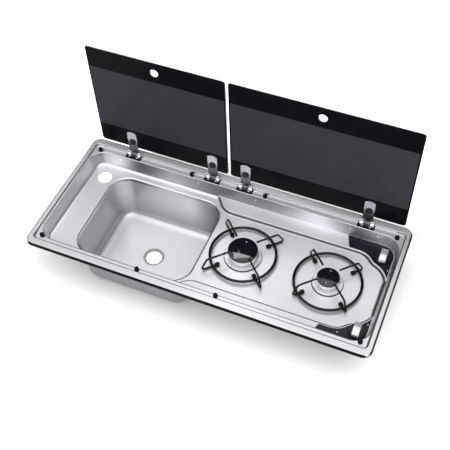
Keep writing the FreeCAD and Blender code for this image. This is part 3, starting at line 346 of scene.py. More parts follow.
@dataclass(frozen=True)
class Brushed(Finish):
    """Metal with fine lines in one direction."""

    streak: Streak = Streak.ALONG_X
    lines_share: float = 0.6
    lines_detail: float = 4.0
    lines_strength: float = 0.6
    cloud_scale: float = 9.0
    cloud_detail: float = 2.0

    def pattern(self, graph: Graph) -> bpy.types.NodeSocket:
        """Fine lines mixed with broad soft clouds.

        Args:
            graph: material to add to.

        Returns:
            The factor output.
        """
        lines = graph.noise(self.streak.value, self.lines_detail, self.lines_strength)
        clouds = graph.noise(even(self.cloud_scale), self.cloud_detail)
        return graph.math("ADD", graph.math("MULTIPLY", lines, self.lines_share),
                          graph.math("MULTIPLY", clouds, 1.0 - self.lines_share))


@dataclass(frozen=True)
class LeafSteel(Brushed):
    """Brushed steel with a painted highlight towards the top of a hinge leaf."""

    # Painted highlight towards the top of the leaf.
    painted_highlight_from: float = 0.0
    painted_highlight_to: float = 1.0
    painted_highlight: float = 1.0

    def material(self) -> bpy.types.Material:
        """Make the node material.

        Returns:
            The material.
        """
        graph = Graph(self.name)
        factor = self.pattern(graph)
        dark = self.varied_colour(graph, factor)
        # Painted highlight from here up.
        height = graph.rise(graph.place("Z"), self.painted_highlight_from, self.painted_highlight_to)
        graph.set(Base_Color=graph.mix(height, dark, self.shade(self.painted_highlight)))
        graph.set(Roughness=self.roughness, Metallic=self.metallic)
        return graph.material


@dataclass(frozen=True)
class Pressed(Brushed, ABC):
    """Brushed sheet with its own gloss on steep walls, painted light and shade in their colour, and painted
    shade along bends.
    """

    wall_roughness: float = 0.28
    # Factor on the colour of steep walls: painted light above 1, painted shade below 1.
    painted_wall_shading: float = 0.85
    across: float = 0.7
    steep_reach: float = 0.45
    # Painted shade along the bends that turn one way.
    painted_bend_shade: float = 0.12
    bend_way: Point = (-0.5, 0.85, 0.0)
    bend_start: Tuple[float, float] = (0.02, 0.1)
    bend_end: Tuple[float, float] = (0.6, 0.9)
    bend_facing: Tuple[float, float] = (0.05, 0.3)
    flat_drop: float = 0.02
    lay: Point = (0.0, 0.7, 0.7)

    @abstractmethod
    def painted_wall_colour(self, graph: Graph) -> bpy.types.NodeSocket:
        """Colour output of the steep walls, with painted light and shade."""

    @abstractmethod
    def trimmed(self, graph: Graph, colour: bpy.types.NodeSocket) -> bpy.types.NodeSocket:
        """Colour output after the last local changes to a colour, which paint light and shade."""

    def metal_share(self, graph: Graph, steep: bpy.types.NodeSocket) -> object:
        """Share of bare metal, as a number or an output; steep is 1 on steep walls."""
        return self.metallic

    def material(self) -> bpy.types.Material:
        """Make the node material.

        Returns:
            The material.
        """
        graph = Graph(self.name)
        factor = self.pattern(graph)
        steep = graph.upright(self.steep_reach)
        flat = graph.math("SUBTRACT", 1.0, steep)
        flat_roughness = graph.math("MULTIPLY", flat, self.varied_roughness(graph, factor))
        wall_roughness = graph.math("MULTIPLY", steep, self.wall_roughness)
        # Steep walls take their own colour, which holds painted light and shade.
        pressed = graph.mix(steep, self.varied_colour(graph, factor), self.painted_wall_colour(graph))
        drop = graph.upright()
        fold = graph.math("SUBTRACT", graph.rise(drop, *self.bend_start), graph.rise(drop, *self.bend_end))
        bend = graph.math("MULTIPLY", fold, graph.facing(self.bend_way, *self.bend_facing))
        # Painted shade along the bends.
        with_painted_bend_shade = graph.mix(bend, pressed, self.shade(self.painted_bend_shade))
        graph.set(Base_Color=self.trimmed(graph, with_painted_bend_shade),
                  Roughness=graph.math("ADD", flat_roughness, wall_roughness),
                  Metallic=self.metal_share(graph, steep))
        graph.set(Anisotropic=self.across, Tangent=graph.vector(self.lay))
        return graph.material


@dataclass(frozen=True)
class Crease:
    """Rounded rectangle along which a sheet is folded, used to draw painted shade along the fold."""

    half_x: float
    half_y: float
    middle_y: float
    corner: float

    def line(self, graph: Graph, near: float, far: float) -> bpy.types.NodeSocket:
        """Line along the fold, where painted shade is drawn.

        The distance from a rounded rectangle is that from the rectangle through its corner centres, less the
        corner radius.

        Args:
            graph: material to add to.
            near: distance within which the line is full.
            far: distance at which it has faded.

        Returns:
            Output that is 1 on the line and 0 away from it.
        """
        along = graph.math("SUBTRACT", graph.place("Y"), self.middle_y)
        out_x = graph.math("SUBTRACT", graph.math("ABSOLUTE", graph.place("X")), self.half_x - self.corner)
        out_y = graph.math("SUBTRACT", graph.math("ABSOLUTE", along), self.half_y - self.corner)
        square_x = graph.math("POWER", graph.math("MAXIMUM", out_x, 0.0), 2.0)
        square_y = graph.math("POWER", graph.math("MAXIMUM", out_y, 0.0), 2.0)
        outer = graph.math("SQRT", graph.math("ADD", square_x, square_y))
        inner = graph.math("MINIMUM", graph.math("MAXIMUM", out_x, out_y), 0.0)
        distance = graph.math("SUBTRACT", graph.math("ADD", outer, inner), self.corner)
        return graph.rise(graph.math("ABSOLUTE", distance), far, near)


@dataclass(frozen=True)
class PressedTop(Pressed):
    """Pressed sheet with dull walls, and painted shade on its lip, along its folds and on its low flanks.

    Its right-hand wall has painted light, and soft bands of painted reflection run along its back wall. The
    bands are mirrored about one place and draw closer together away from it.
    """

    dull: float = 0.2
    # Painted shade on the rim's rolled outer edge.
    lip_level: float = 0.0025
    lip_reach: Tuple[float, float] = (0.446, 0.191)
    lip_steep: Tuple[float, float] = (0.01, 0.06)
    painted_lip_shade: float = 0.012
    # Folds of the sheet, along which dark lines of painted shade are drawn at the front.
    recess: Crease = Crease(half_x=0.435, half_y=0.173, middle_y=0.0, corner=0.01)
    well: Crease = Crease(half_x=0.432, half_y=0.1585, middle_y=-0.0015, corner=0.042)
    crease_near: float = 0.0016
    crease_far: float = 0.0034
    crease_level: float = -0.001
    crease_slant: float = 0.3
    crease_fade: Tuple[float, float] = (0.0, 0.06)
    painted_crease_shade: float = 0.16
    # Painted light on the hob deck towards the back, with a little painted shade at its front.
    deck_level: float = -0.02
    deck_from: Tuple[float, float] = (-0.08, 0.0)
    deck_depth: Tuple[float, float] = (-0.11, 0.03)
    painted_deck_front_shade: float = 0.92
    painted_deck_back_light: float = 1.25
    deck_share: float = 0.9
    # Painted shade on the low flanks of the hob side.
    flank_level: float = -0.0292
    flank_from: float = -0.06
    painted_flank_shade: float = 0.2
    flank_steep: Tuple[float, float] = (0.05, 0.14)
    # Soft bands of painted reflection along the back wall.
    band_middle: float = 0.01
    band_reach: float = 0.205
    band_growth: float = 1.75
    painted_band_shade: float = 0.35
    back_way: Point = (0.0, -1.0, 0.0)
    back_facing: Tuple[float, float] = (0.5, 0.9)
    # Painted light on the wall at the right-hand end, which is also duller there.
    end_way: Point = (-1.0, 0.0, 0.0)
    end_facing: Tuple[float, float] = (0.4, 0.8)
    end_from: Tuple[float, float] = (0.41, 0.418)
    end_back: Tuple[float, float] = (0.05, 0.0)
    painted_end_light: float = 1.32
    end_dull: float = 0.95

    def end_wall(self, graph: Graph) -> bpy.types.NodeSocket:
        """Choose the wall at the right-hand end, in front of the back panel.

        Args:
            graph: material to add to.

        Returns:
            Output that is 1 on that wall and 0 elsewhere.
        """
        outer = graph.math("MULTIPLY", graph.rise(graph.place("X"), *self.end_from),
                           graph.rise(graph.place("Y"), *self.end_back))
        return graph.math("MULTIPLY", graph.facing(self.end_way, *self.end_facing), outer)

    def metal_share(self, graph: Graph, steep: bpy.types.NodeSocket) -> object:
        """Share of bare metal, less on the walls under the rim and least at the right-hand end.

        Args:
            graph: material to add to.
            steep: output that is 1 on steep walls.

        Returns:
            The value output.
        """
        wall = graph.math("MULTIPLY", steep, graph.math("LESS_THAN", graph.place("Z"), self.lip_level))
        dull = graph.spread(self.end_wall(graph), self.dull, self.end_dull)
        return graph.math("SUBTRACT", self.metallic, graph.math("MULTIPLY", wall, dull))

    def painted_wall_colour(self, graph: Graph) -> bpy.types.NodeSocket:
        """Steep-wall colour: bands of painted reflection, painted light at the right end, painted shade on
        low flanks.

        Args:
            graph: material to add to.

        Returns:
            The colour output.
        """
        # Bands of painted reflection on the back wall.
        away = graph.math("ABSOLUTE", graph.math("SUBTRACT", graph.place("X"), self.band_middle))
        growth = graph.math("POWER", graph.math("DIVIDE", away, self.band_reach), self.band_growth)
        wave = graph.math("COSINE", graph.math("MULTIPLY", growth, math.pi))
        under = graph.math("LESS_THAN", graph.place("Z"), self.lip_level)
        back = graph.math("MULTIPLY", graph.facing(self.back_way, *self.back_facing), under)
        band = graph.math("MULTIPLY", graph.math("MULTIPLY", graph.math("ADD", wave, 1.0), 0.5), back)
        with_painted_bands = graph.mix(band, self.shade(self.painted_wall_shading), self.shade(self.painted_band_shade))
        # Painted shade on the low flanks.
        low = graph.math("MULTIPLY", graph.math("LESS_THAN", graph.place("Z"), self.flank_level),
                         graph.math("GREATER_THAN", graph.place("X"), self.flank_from))
        flank = graph.math("MULTIPLY", graph.rise(graph.upright(), *self.flank_steep), low)
        # Painted light on the right-hand end wall.
        ended = graph.mix(self.end_wall(graph), with_painted_bands, self.shade(self.painted_end_light))
        return graph.mix(flank, ended, self.shade(self.painted_flank_shade))

    def trimmed(self, graph: Graph, colour: bpy.types.NodeSocket) -> bpy.types.NodeSocket:
        """Colour with painted light towards the back of the hob deck, painted shade on the rim's edge and
        front folds.

        Args:
            graph: material to add to.
            colour: colour output so far.

        Returns:
            The colour output.
        """
        # Painted shade on the rim's outer edge.
        outside = graph.math("MAXIMUM", self.beyond(graph, "X", self.lip_reach[0]),
                             self.beyond(graph, "Y", self.lip_reach[1]))
        edge = graph.math("MULTIPLY", outside, graph.rise(graph.upright(), *self.lip_steep))
        # Painted light and shade graded along the hob deck.
        level = graph.rise(graph.upright(), self.flat_drop, 0.0)
        low = graph.math("MULTIPLY", graph.math("LESS_THAN", graph.place("Z"), self.deck_level), level)
        deck = graph.math("MULTIPLY", graph.rise(graph.place("X"), *self.deck_from), low)
        painted_gradient = graph.mix(graph.rise(graph.place("Y"), *self.deck_depth),
                           self.shade(self.painted_deck_front_shade), self.shade(self.painted_deck_back_light))
        decked = graph.mix(graph.math("MULTIPLY", deck, self.deck_share), colour, painted_gradient)
        edged = graph.mix(edge, decked, self.shade(self.painted_lip_shade))
        # Dark lines of painted shade along the front folds.
        lines = graph.math("MAXIMUM", self.recess.line(graph, self.crease_near, self.crease_far),
                           self.well.line(graph, self.crease_near, self.crease_far))
        above = graph.math("GREATER_THAN", graph.place("Z"), self.crease_level)
        forward = graph.math("SUBTRACT", graph.math("MULTIPLY", graph.place("X"), self.crease_slant),
                             graph.place("Y"))
        front = graph.math("MULTIPLY", graph.rise(forward, *self.crease_fade), above)
        return graph.mix(graph.math("MULTIPLY", lines, front), edged, self.shade(self.painted_crease_shade))

    def beyond(self, graph: Graph, axis: str, reach: float) -> bpy.types.NodeSocket:
        """Output that is 1 further out along an axis than a reach, on either side, and 0 inside it."""
        return graph.math("GREATER_THAN", graph.math("ABSOLUTE", graph.place(axis)), reach)


@dataclass(frozen=True)
class DrawnBowl(Pressed):
    """Drawn sheet with painted light and shade on its walls, and painted shade on its floor's back and drain
    dish.
    """

    drain: Tuple[float, float] = (-0.194, -0.0085)
    # Painted shade on the dish round the drain.
    dish_edge: Tuple[float, float] = (0.0245, 0.0285)
    painted_dish_shade: float = 0.45
    # Painted light and shade on the walls: lighter at the top, darker low, at the front left and at the
    # right.
    wall_levels: Tuple[float, float] = (-0.15, -0.06)
    painted_low_shade: float = 0.5
    left_reach: Tuple[float, float] = (0.08, -0.01)
    painted_left_shade: float = 0.56
    left_way: Point = (1.0, 0.0, 0.0)
    left_facing: Tuple[float, float] = (0.2, 0.8)
    right_reach: Tuple[float, float] = (-0.14, -0.06)
    painted_right_shade: float = 0.26
    # Painted shade on the floor towards the back.
    floor_back: Tuple[float, float] = (0.0, 0.1)
    painted_floor_shade: float = 0.86

    def painted_wall_colour(self, graph: Graph) -> bpy.types.NodeSocket:
        """Colour of the steep walls, with painted light towards the top and painted shade at the front left
        and the right.

        Args:
            graph: material to add to.

        Returns:
            The colour output.
        """
        # Painted light up the walls, and painted shade low and at the front left and the right.
        height = graph.rise(graph.place("Z"), *self.wall_levels)
        painted_gradient = graph.mix(height, self.shade(self.painted_low_shade), self.shade(self.painted_wall_shading))
        left = graph.math("MULTIPLY", graph.facing(self.left_way, *self.left_facing),
                          graph.rise(graph.place("Y"), *self.left_reach))
        right = graph.rise(graph.place("X"), *self.right_reach)
        sided = graph.mix(left, painted_gradient, self.shade(self.painted_left_shade))
        return graph.mix(right, sided, self.shade(self.painted_right_shade))

    def trimmed(self, graph: Graph, colour: bpy.types.NodeSocket) -> bpy.types.NodeSocket:
        """Colour with painted shade on the back of the floor and on the drain's dish.

        Args:
            graph: material to add to.
            colour: colour output so far.

        Returns:
            The colour output.
        """
        # Painted shade on the back of the floor.
        flat = graph.rise(graph.upright(), self.flat_drop, 0.0)
        back = graph.math("MULTIPLY", graph.rise(graph.place("Y"), *self.floor_back), flat)
        floor = graph.mix(back, colour, self.shade(self.painted_floor_shade))
        # Painted shade on the drain's dish.
        outside = graph.rise(graph.distance(self.drain), *self.dish_edge)
        return graph.mix(outside, self.shade(self.painted_dish_shade), floor)


@dataclass(frozen=True)
class PrintedGlass(Finish):
    """Lid glass with black bands at top and bottom and a grey dotted field between them."""

    band_top: float = 0.2915
    band_bottom: float = 0.0956
    left: float = 0.0
    right: float = 0.0
    margin: float = 0.004
    dot_pitch: float = 0.0022
    dot_colour: Colour = (0.068, 0.067, 0.078)
    dot_share: Tuple[float, float] = (0.35, 1.0)
    cloud_scale: float = 7.0
    cloud_share: Tuple[float, float] = (0.85, 1.15)
    gloss_scale: float = 60.0
    gloss_growth: float = 1.5

    def inside(self, graph: Graph, value: object, low: float, high: float) -> bpy.types.NodeSocket:
        """Choose the span between two limits.

        Args:
            graph: material to add to.
            value: output to test.
            low: lower limit.
            high: upper limit.

        Returns:
            Output that is 1 between the limits and 0 outside them.
        """
        above = graph.math("GREATER_THAN", value, low)
        below = graph.math("LESS_THAN", value, high)
        return graph.math("MULTIPLY", above, below)

    def material(self) -> bpy.types.Material:
        """Make the node material from the lid's own coordinates.

        Returns:
            The material.
        """
        graph = Graph(self.name)
        x = graph.place("X")
        z = graph.place("Z")
        field_x = self.inside(graph, x, self.left + self.margin, self.right - self.margin)
        field_z = self.inside(graph, z, self.band_bottom, self.band_top)
        middle = graph.math("MULTIPLY", field_x, field_z)
        wave_x = graph.math("SINE", graph.math("MULTIPLY", x, 2 * math.pi / self.dot_pitch))
        wave_z = graph.math("SINE", graph.math("MULTIPLY", z, 2 * math.pi / self.dot_pitch))
        dots = graph.spread(graph.math("ADD", wave_x, wave_z), *self.dot_share)
        clouds = graph.spread(graph.noise(even(self.cloud_scale)), *self.cloud_share)
        share = graph.math("MULTIPLY", graph.math("MULTIPLY", middle, dots), clouds)
        haze = graph.noise(even(self.gloss_scale))
        graph.set(Base_Color=graph.mix(share, self.colour, self.dot_colour),
                  Roughness=graph.spread(haze, self.roughness, self.roughness * self.gloss_growth),
                  Specular_IOR_Level=self.specular)
        return graph.material


# The top's steep walls have painted light; the bowl's walls and bends have painted shade.
STEEL_TOP = PressedTop("pressed_steel", (0.755, 0.757, 0.785), 0.46, 1.0, variation=0.11, painted_wall_shading=1.1)
STEEL_BOWL = DrawnBowl("bowl_steel", (0.94, 0.945, 0.965), 0.52, 1.0, variation=0.03, streak=Streak.NONE,
                       across=0.3, wall_roughness=0.42, painted_wall_shading=0.84, painted_bend_shade=0.76,
                       bend_way=(0.0, 0.0, 1.0), bend_start=(0.002, 0.02))
STEEL_BACK = Brushed("bowl_back_steel", (0.27, 0.27, 0.29), 0.55, 0.2, variation=0.05)
STEEL_HINGE = Brushed("hinge_steel", (0.62, 0.62, 0.65), 0.2, 1.0, variation=0.15, streak=Streak.ALONG_Z)
# Leaf steel drawn darker than the hinge steel as painted shade, with a painted highlight towards the top.
STEEL_LEAF = LeafSteel("leaf_steel", (0.13, 0.13, 0.145), 0.26, 1.0, variation=0.25, streak=Streak.ALONG_Z,
                       painted_highlight_from=0.046, painted_highlight_to=0.068, painted_highlight=4.6)
RUBBER = Finish("black_rubber", (0.005, 0.005, 0.006), 0.6, specular=0.12, variation=0.25, relief=0.00005)
PLASTIC = Finish("black_plastic", (0.008, 0.008, 0.009), 0.42, specular=0.3, variation=0.2)
COATING = Finish("black_panel", (0.008, 0.008, 0.014), 0.3, specular=0.25, variation=0.2)
SILVER = Finish("silver_plastic", (0.56, 0.56, 0.58), 0.36, metallic=0.7, variation=0.05, grain=900.0)
BRASS = Finish("tap_brass", (0.4, 0.285, 0.12), 0.38, metallic=1.0, variation=0.1)
SPINDLE = Brushed("spindle_steel", (0.6, 0.6, 0.61), 0.3, 1.0, streak=Streak.ALONG_Z)
TUBE = Brushed("pipe_aluminium", (0.74, 0.74, 0.75), 0.35, 1.0)
CAST = Finish("burner_aluminium", (0.82, 0.82, 0.83), 0.3, metallic=1.0, variation=0.08, grain=600.0,
              relief=0.00003)
ENAMEL = Finish("black_enamel", (0.003, 0.003, 0.006), 0.06, specular=0.65, variation=0.2, grain=700.0)
CERAMIC = Finish("ceramic", (0.86, 0.84, 0.80), 0.25, coat=0.5, variation=0.05)
WIRE = Finish("support_wire", (0.003, 0.003, 0.004), 0.16, specular=0.3, variation=0.2, grain=400.0)
MARK = Finish("dial_mark", (0.36, 0.36, 0.38), 0.5, variation=0.05)
GLASS_EDGE = Finish("glass_edge", (0.60, 0.64, 0.63), 0.2, variation=0.06)


class Wardrobe:
    """Keeps one material per finish and puts them on objects."""

    def __init__(self) -> None:
        """Start with no materials."""
        self.made: Dict[str, bpy.types.Material] = {}

    def material(self, finish: Finish) -> bpy.types.Material:
        """Material of a finish, made on first use.

        Args:
            finish: the finish.

        Returns:
            Its material.
        """
        if finish.name not in self.made:
            self.made[finish.name] = finish.material()
        return self.made[finish.name]

    def wear(self, obj: bpy.types.Object, *finishes: Finish) -> None:
        """Give an object one material slot per finish.

        Args:
            obj: object to dress.
            finishes: finishes in slot order.
        """
        obj.data.materials.clear()
        for finish in finishes:
            obj.data.materials.append(self.material(finish))

    def node(self, name: str, *finishes: Finish) -> bpy.types.Object:
        """Dress a node of the frame.

        Args:
            name: node name.
            finishes: finishes in slot order.

        Returns:
            The node's object.
        """
        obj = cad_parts[name]
        self.wear(obj, *finishes)
        LOG.info("node %s: %s", name, ", ".join(finish.name for finish in finishes))
        return obj


WARDROBE = Wardrobe()


def new_object(name: str, points: np.ndarray, faces: List[List[int]]) -> bpy.types.Object:
    """Put a mesh into the scene.

    Args:
        name: object name.
        points: place of each vertex.
        faces: vertex numbers of each face.

    Returns:
        The new object.
    """
    mesh = bpy.data.meshes.new(name)
    mesh.from_pydata(points.tolist(), [], faces)
    obj = bpy.data.objects.new(name, mesh)
    bpy.context.scene.collection.objects.link(obj)
    return obj


def flat_piece(name: str, corners: np.ndarray) -> bpy.types.Object:
    """One flat face through its corners, in order."""
    return new_object(name, corners, [list(range(len(corners)))])


def turned_piece(name: str, profile: np.ndarray, places: np.ndarray, steps: int = 24) -> bpy.types.Object:
    """Closed mesh of one turned shape, repeated at several places.

    A point is (r cos t, r sin t, h) from its place, with ring radius r and height h from the profile, and
    the turn t in equal steps.

    Args:
        name: object name.
        profile: radius and height of each ring, from the foot to the top.
        places: foot point of each copy.
        steps: number of faces round each copy.

    Returns:
        The new object.
    """
    turn = np.linspace(0, 2 * np.pi, steps, endpoint=False)
    radius, height = profile.T
    rings = np.stack([np.outer(radius, np.cos(turn)), np.outer(radius, np.sin(turn)),
                      np.repeat(height[:, None], steps, axis=1)], axis=-1)
    points = (rings[None] + places[:, None, None, :]).reshape(-1, 3)
    column = np.arange(steps)
    after = np.roll(column, -1)
    row = np.arange(len(profile) - 1)[:, None] * steps
    above = row + steps
    sides = np.stack([row + column, row + after, above + after, above + column], axis=-1).reshape(-1, 4)
    starts = np.arange(len(places)) * len(profile) * steps
    faces = [list(face + start) for start in starts for face in sides]
    faces += [list(column + start + (len(profile) - 1) * steps) for start in starts]
    faces += [list(column[::-1] + start) for start in starts]
    piece = new_object(name, points, faces)
    piece.data.shade_smooth()
    return piece


def face_values(obj: bpy.types.Object, measure: str) -> np.ndarray:
    """One vector for each face of a mesh.

    Args:
        obj: the mesh object.
        measure: name of the measure, normal or center.

    Returns:
        The vectors, one to a row.
    """
    values = np.zeros(len(obj.data.polygons) * 3)
    obj.data.polygons.foreach_get(measure, values)
    return values.reshape(-1, 3)


@dataclass
class SteelTop:
    """Pressed top, bowl, seal and the rubber on the ledge."""

    def dress(self) -> None:
        """Put finishes on the nodes."""
        WARDROBE.node("top_pressing", STEEL_TOP)
        self.dress_bowl()
        for name in ("rim_seal", "lid_buffers", "hinge_pads"):
            WARDROBE.node(name, RUBBER)
        WARDROBE.node("hinge_screws", STEEL_HINGE)

    def dress_bowl(self) -> None:
        """Give the bowl a satin inside and a dull outside."""
        bowl = WARDROBE.node("sink_bowl", STEEL_BOWL, STEEL_BACK)
        low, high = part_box("sink_bowl")
        heart = np.array([(low.x + high.x) / 2, (low.y + high.y) / 2, high.z])
        outward = ((face_values(bowl, "center") - heart) * face_values(bowl, "normal")).sum(axis=1)
        bowl.data.polygons.foreach_set("material_index", (outward > 0).astype(np.int32))


@dataclass
class GlassLid:
    """One glass lid with its hinges."""

    name: str
    edge_lean: float = 0.7
    print_colour: Colour = (0.0042, 0.0042, 0.0062)
    print_roughness: float = 0.1
    print_specular: float = 0.03

    def dress(self) -> None:
        """Print the glass, and put finishes on the hinges."""
        low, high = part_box(self.name + "_lid_glass")
        printed = PrintedGlass(self.name + "_lid_print", self.print_colour, self.print_roughness,
                               specular=self.print_specular, left=low.x, right=high.x)
        glass = WARDROBE.node(self.name + "_lid_glass", printed, GLASS_EDGE)
        edge = np.abs(face_values(glass, "normal")[:, 1]) < self.edge_lean
        glass.data.polygons.foreach_set("material_index", edge.astype(np.int32))
        WARDROBE.node(self.name + "_lid_gaskets", RUBBER)
        WARDROBE.node(self.name + "_lid_screws", PLASTIC)
        for side in ("left", "right"):
            for piece in ("bracket", "pin", "leaf"):
                finish = STEEL_LEAF if piece == "leaf" else STEEL_HINGE
                WARDROBE.node(f"{self.name}_{side}_hinge_{piece}", finish)


@dataclass
class Burner:
    """One gas burner with its pan support and feed pipe."""

    side: str
    screw_share: float = 0.65
    screw_radius: float = 0.0022
    screw_height: float = 0.0008
    screw_sunk: float = 0.0012
    dome_slopes: Tuple[float, ...] = (0.0, 30.0, 60.0, 80.0)

    def dress(self) -> None:
        """Put finishes on the nodes."""
        finishes = {"burner_cup": CAST, "flame_ring": CAST, "burner_cap": ENAMEL, "electrode": CERAMIC,
                    "thermocouple": SPINDLE, "pan_support": WIRE, "pan_support_feet": RUBBER,
                    "feed_pipe": TUBE}
        for piece, finish in finishes.items():
            WARDROBE.node(f"{self.side}_{piece}", finish)

    def build(self) -> None:
        """Add the two round screw heads on the cap.

        A dome ring at slope s has radius r cos s and height h sin s, on a straight foot of radius r.
        """
        low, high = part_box(self.side + "_flame_ring")
        cap_low, cap_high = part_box(self.side + "_burner_cap")
        reach = self.screw_share * (cap_high.x - cap_low.x) / 2
        middle_x = (low.x + high.x) / 2
        middle_y = (low.y + high.y) / 2
        foot_z = cap_high.z - self.screw_sunk
        places = np.array([(middle_x, middle_y + way * reach, foot_z) for way in (-1, 1)])
        slope = np.radians(self.dome_slopes)
        dome = np.column_stack([np.cos(slope), np.sin(slope)])
        foot = np.array([[self.screw_radius, 0.0]])
        head = dome * (self.screw_radius, self.screw_height) + (0.0, self.screw_sunk - self.screw_height / 2)
        screws = turned_piece(self.side + "_cap_screws", np.concatenate([foot, head]), places)
        WARDROBE.wear(screws, SPINDLE)
        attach(screws, "frame")
        LOG.info("piece %s", screws.name)


@dataclass
class TapKnob:
    """One control panel with its gas tap and knob."""

    side: str
    marks: Tuple[Tuple[float, float], ...] = ()
    mark_radius: float = 0.0019
    mark_depth: float = 0.0002
    mark_lift: float = 0.00006

    def dress(self) -> None:
        """Put finishes on the nodes."""
        finishes = {"control_panel": COATING, "gas_tap": BRASS, "tap_stem": BRASS, "tap_spindle": SPINDLE,
                    "knob_skirt": PLASTIC, "knob_grip": SILVER}
        for piece, finish in finishes.items():
            WARDROBE.node(f"{self.side}_{piece}", finish)

    def build(self) -> None:
        """Add the dial marks: flat discs of one radius, set just into the panel's top."""
        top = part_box(self.side + "_control_panel")[1].z
        places = np.array([(x, y, top) for x, y in self.marks])
        disc = np.array([(self.mark_radius, -self.mark_depth), (self.mark_radius, self.mark_lift)])
        marks = turned_piece(self.side + "_dial_marks", disc, places)
        WARDROBE.wear(marks, MARK)
        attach(marks, "frame")
        LOG.info("piece %s", marks.name)


BACK_MARKS = ((0.4192, 0.0760),)
FRONT_MARKS = ((0.3571, -0.1351), (0.4186, -0.0903))


def turned_to(place: Point, aim: Point) -> Quaternion:
    """Turn that points a lamp or camera from its place to its aim."""
    return (Vector(aim) - Vector(place)).to_track_quat("-Z", "Y")


@dataclass(frozen=True)
class Lamp:
    """One soft box."""

    name: str
    place: Point
    aim: Point
    size: Tuple[float, float]
    power: float
    in_reflections: bool = True

    def build(self) -> None:
        """Add the lamp to the scene."""
        data = bpy.data.lights.new(self.name, "AREA")
        data.shape = "RECTANGLE"
        data.size, data.size_y = self.size
        data.energy = self.power
        lamp = bpy.data.objects.new(self.name, data)
        lamp.visible_camera = False
        lamp.visible_glossy = self.in_reflections
        lamp.location = self.place
        lamp.rotation_euler = turned_to(self.place, self.aim).to_euler()
        bpy.context.scene.collection.objects.link(lamp)


KEY = Lamp("key", (0.6, -0.7, 2.4), (0.0, 0.0, -0.1), (2.0, 1.6), 56.0, in_reflections=False)
WINDOW = Lamp("window", (-0.10, 0.354, 0.678), (0.07, 0.0, 0.0), (0.2, 0.12), 0.44)


@dataclass(frozen=True)
class View:
    """Camera at the photo's place."""

    place: Point = (0.52813, -1.10523, 1.61530)
    aim: Point = (0.00151, 0.04080, 0.002)
    roll: float = -2.6194
    lens: float = 64.508
    sensor: float = 36.0

    def build(self) -> None:
        """Add the camera to the scene."""
        data = bpy.data.cameras.new("camera")
        data.lens = self.lens
        data.sensor_width = self.sensor
        camera = bpy.data.objects.new("camera", data)
        way = turned_to(self.place, self.aim).to_matrix().to_4x4()
        roll = Matrix.Rotation(math.radians(self.roll), 4, "Z")
        camera.matrix_world = Matrix.Translation(self.place) @ way @ roll
        bpy.context.scene.collection.objects.link(camera)
        bpy.context.scene.camera = camera


@dataclass(frozen=True)
class Sky:
    """Light from all round: bright about one direction and dim away from it.

    To the camera, and through glass, it is plain white.
    """

    toward: Point = (0.0, -0.25, 0.97)
    bright: float = 1.8
    dim: float = 0.04
    dim_beyond: float = 60.0
    bright_within: float = 33.0
    white: float = 1.0

    def build(self) -> None:
        """Make the world."""
        world = bpy.data.worlds.new("world")
        bpy.context.scene.world = world
        world.use_nodes = True
        tree = world.node_tree
        place = tree.nodes.new("ShaderNodeTexCoord")
        facing = tree.nodes.new("ShaderNodeVectorMath")
        facing.operation = "DOT_PRODUCT"
        facing.inputs[1].default_value = Vector(self.toward).normalized()
        tree.links.new(place.outputs["Generated"], facing.inputs[0])
        rise = tree.nodes.new("ShaderNodeMapRange")
        rise.interpolation_type = "SMOOTHSTEP"
        tree.links.new(facing.outputs["Value"], rise.inputs["Value"])
        for name, value in (("From Min", math.cos(math.radians(self.dim_beyond))),
                            ("From Max", math.cos(math.radians(self.bright_within))),
                            ("To Min", self.dim), ("To Max", self.bright)):
            rise.inputs[name].default_value = value
        path = tree.nodes.new("ShaderNodeLightPath")
        choice = tree.nodes.new("ShaderNodeMix")
        choice.inputs["B"].default_value = self.white
        seen = tree.nodes.new("ShaderNodeMath")
        seen.operation = "MAXIMUM"
        tree.links.new(path.outputs["Is Camera Ray"], seen.inputs[0])
        tree.links.new(path.outputs["Is Transmission Ray"], seen.inputs[1])
        tree.links.new(seen.outputs[0], choice.inputs["Factor"])
        tree.links.new(rise.outputs["Result"], choice.inputs["A"])
        tree.links.new(choice.outputs["Result"], tree.nodes["Background"].inputs["Strength"])
        tree.nodes["Background"].inputs["Color"].default_value = WHITE


@dataclass(frozen=True)
class Card:
    """Dark upright card behind the unit, which the steel reflects and the camera does not see."""

    half_width: float = 1.2
    y: float = 0.27
    low: float = -0.1
    high: float = 0.42
    colour: Colour = (0.02, 0.02, 0.022)
    roughness: float = 0.9

    def build(self) -> None:
        """Add the card to the stage."""
        corners = [(-self.half_width, self.y, self.low), (self.half_width, self.y, self.low),
                   (self.half_width, self.y, self.high), (-self.half_width, self.y, self.high)]
        card = flat_piece("card", np.array(corners))
        WARDROBE.wear(card, Finish("card", self.colour, self.roughness, specular=0.0))
        card.visible_camera = False
        card.visible_shadow = False


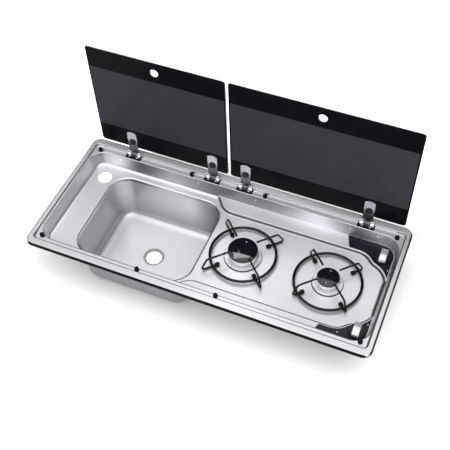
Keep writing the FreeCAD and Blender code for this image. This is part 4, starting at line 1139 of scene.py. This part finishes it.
@dataclass
class Stage:
    """Pale floor with its sky, card and lamps.

    The floor shows white behind and beside the unit, far away and through the sink's drain.
    """

    floor_z: float = -0.184
    floor_half: float = 9.0
    floor_colour: Colour = (0.9, 0.9, 0.9)
    floor_roughness: float = 0.9
    floor_cloud_scale: float = 2.0
    floor_cloud_shade: float = 0.99
    glow_behind: Tuple[float, float] = (0.33, 0.45)
    glow_corner: Tuple[float, float] = (-0.36, 0.12)
    glow_corner_edge: float = 0.05
    glow_beside: Tuple[float, float] = (0.47, 0.95)
    glow_beyond: Tuple[float, float] = (0.8, 1.4)
    drain: Tuple[float, float] = (-0.2, 0.0)
    drain_reach: float = 0.05
    glow: float = 1.0
    sky: Sky = Sky()
    card: Card = Card()
    lamps: List[Lamp] = field(default_factory=list)

    def floor_material(self) -> bpy.types.Material:
        """Pale matt floor with white parts, which show to the camera, in reflections and through glass.

        Returns:
            The material.
        """
        graph = Graph("floor")
        x = graph.place("X")
        y = graph.place("Y")
        path = graph.tree.nodes.new("ShaderNodeLightPath")
        far = graph.rise(graph.distance((0.0, 0.0)), *self.glow_beyond)
        under = graph.math("LESS_THAN", graph.distance(self.drain), self.drain_reach)
        lit = graph.math("MAXIMUM", far, under)
        corner_x, corner_y = self.glow_corner
        corner = graph.math("MULTIPLY", graph.rise(x, corner_x, corner_x - self.glow_corner_edge),
                            graph.rise(y, corner_y, corner_y + self.glow_corner_edge))
        lit = graph.math("MAXIMUM", lit, corner)
        lit = graph.math("MAXIMUM", lit, graph.rise(y, *self.glow_behind))
        lit = graph.math("MAXIMUM", lit, graph.rise(x, *self.glow_beside))
        seen = path.outputs["Is Camera Ray"]
        for ray in ("Is Glossy Ray", "Is Transmission Ray"):
            seen = graph.math("MAXIMUM", seen, path.outputs[ray])
        white = graph.math("MULTIPLY", lit, seen)
        clouds = graph.noise(even(self.floor_cloud_scale))
        cloudy = tuple(channel * self.floor_cloud_shade for channel in self.floor_colour)
        graph.set(Base_Color=graph.mix(clouds, self.floor_colour, cloudy), Roughness=self.floor_roughness)
        graph.set(Emission_Color=WHITE, Specular_IOR_Level=0.0,
                  Emission_Strength=graph.math("MULTIPLY", white, self.glow))
        return graph.material

    def build(self) -> None:
        """Add floor, sky, card and lamps."""
        half = self.floor_half
        plan = [(-half, -half), (half, -half), (half, half), (-half, half)]
        floor = flat_piece("floor", np.array([(x, y, self.floor_z) for x, y in plan]))
        floor.data.materials.append(self.floor_material())
        self.sky.build()
        self.card.build()
        for lamp in self.lamps:
            lamp.build()
        bpy.context.scene.view_settings.view_transform = "Standard"


class HobAndSink:
    """The whole unit."""

    def __init__(self) -> None:
        """List the sub-assemblies."""
        self.top = SteelTop()
        self.lids = [GlassLid("sink"), GlassLid("hob")]
        self.burners = [Burner("left"), Burner("right")]
        self.knobs = [TapKnob("back", BACK_MARKS), TapKnob("front", FRONT_MARKS)]

    def build(self) -> None:
        """Dress every node and add the extra pieces."""
        self.top.dress()
        for lid in self.lids:
            lid.dress()
        for burner in self.burners:
            burner.dress()
            burner.build()
        for knob in self.knobs:
            knob.dress()
            knob.build()
        WARDROBE.node("gas_rail", TUBE)


def main() -> None:
    """Build the scene."""
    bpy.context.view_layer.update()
    HobAndSink().build()
    Stage(lamps=[KEY, WINDOW]).build()
    View().build()


if __name__ == "__main__":
    main()
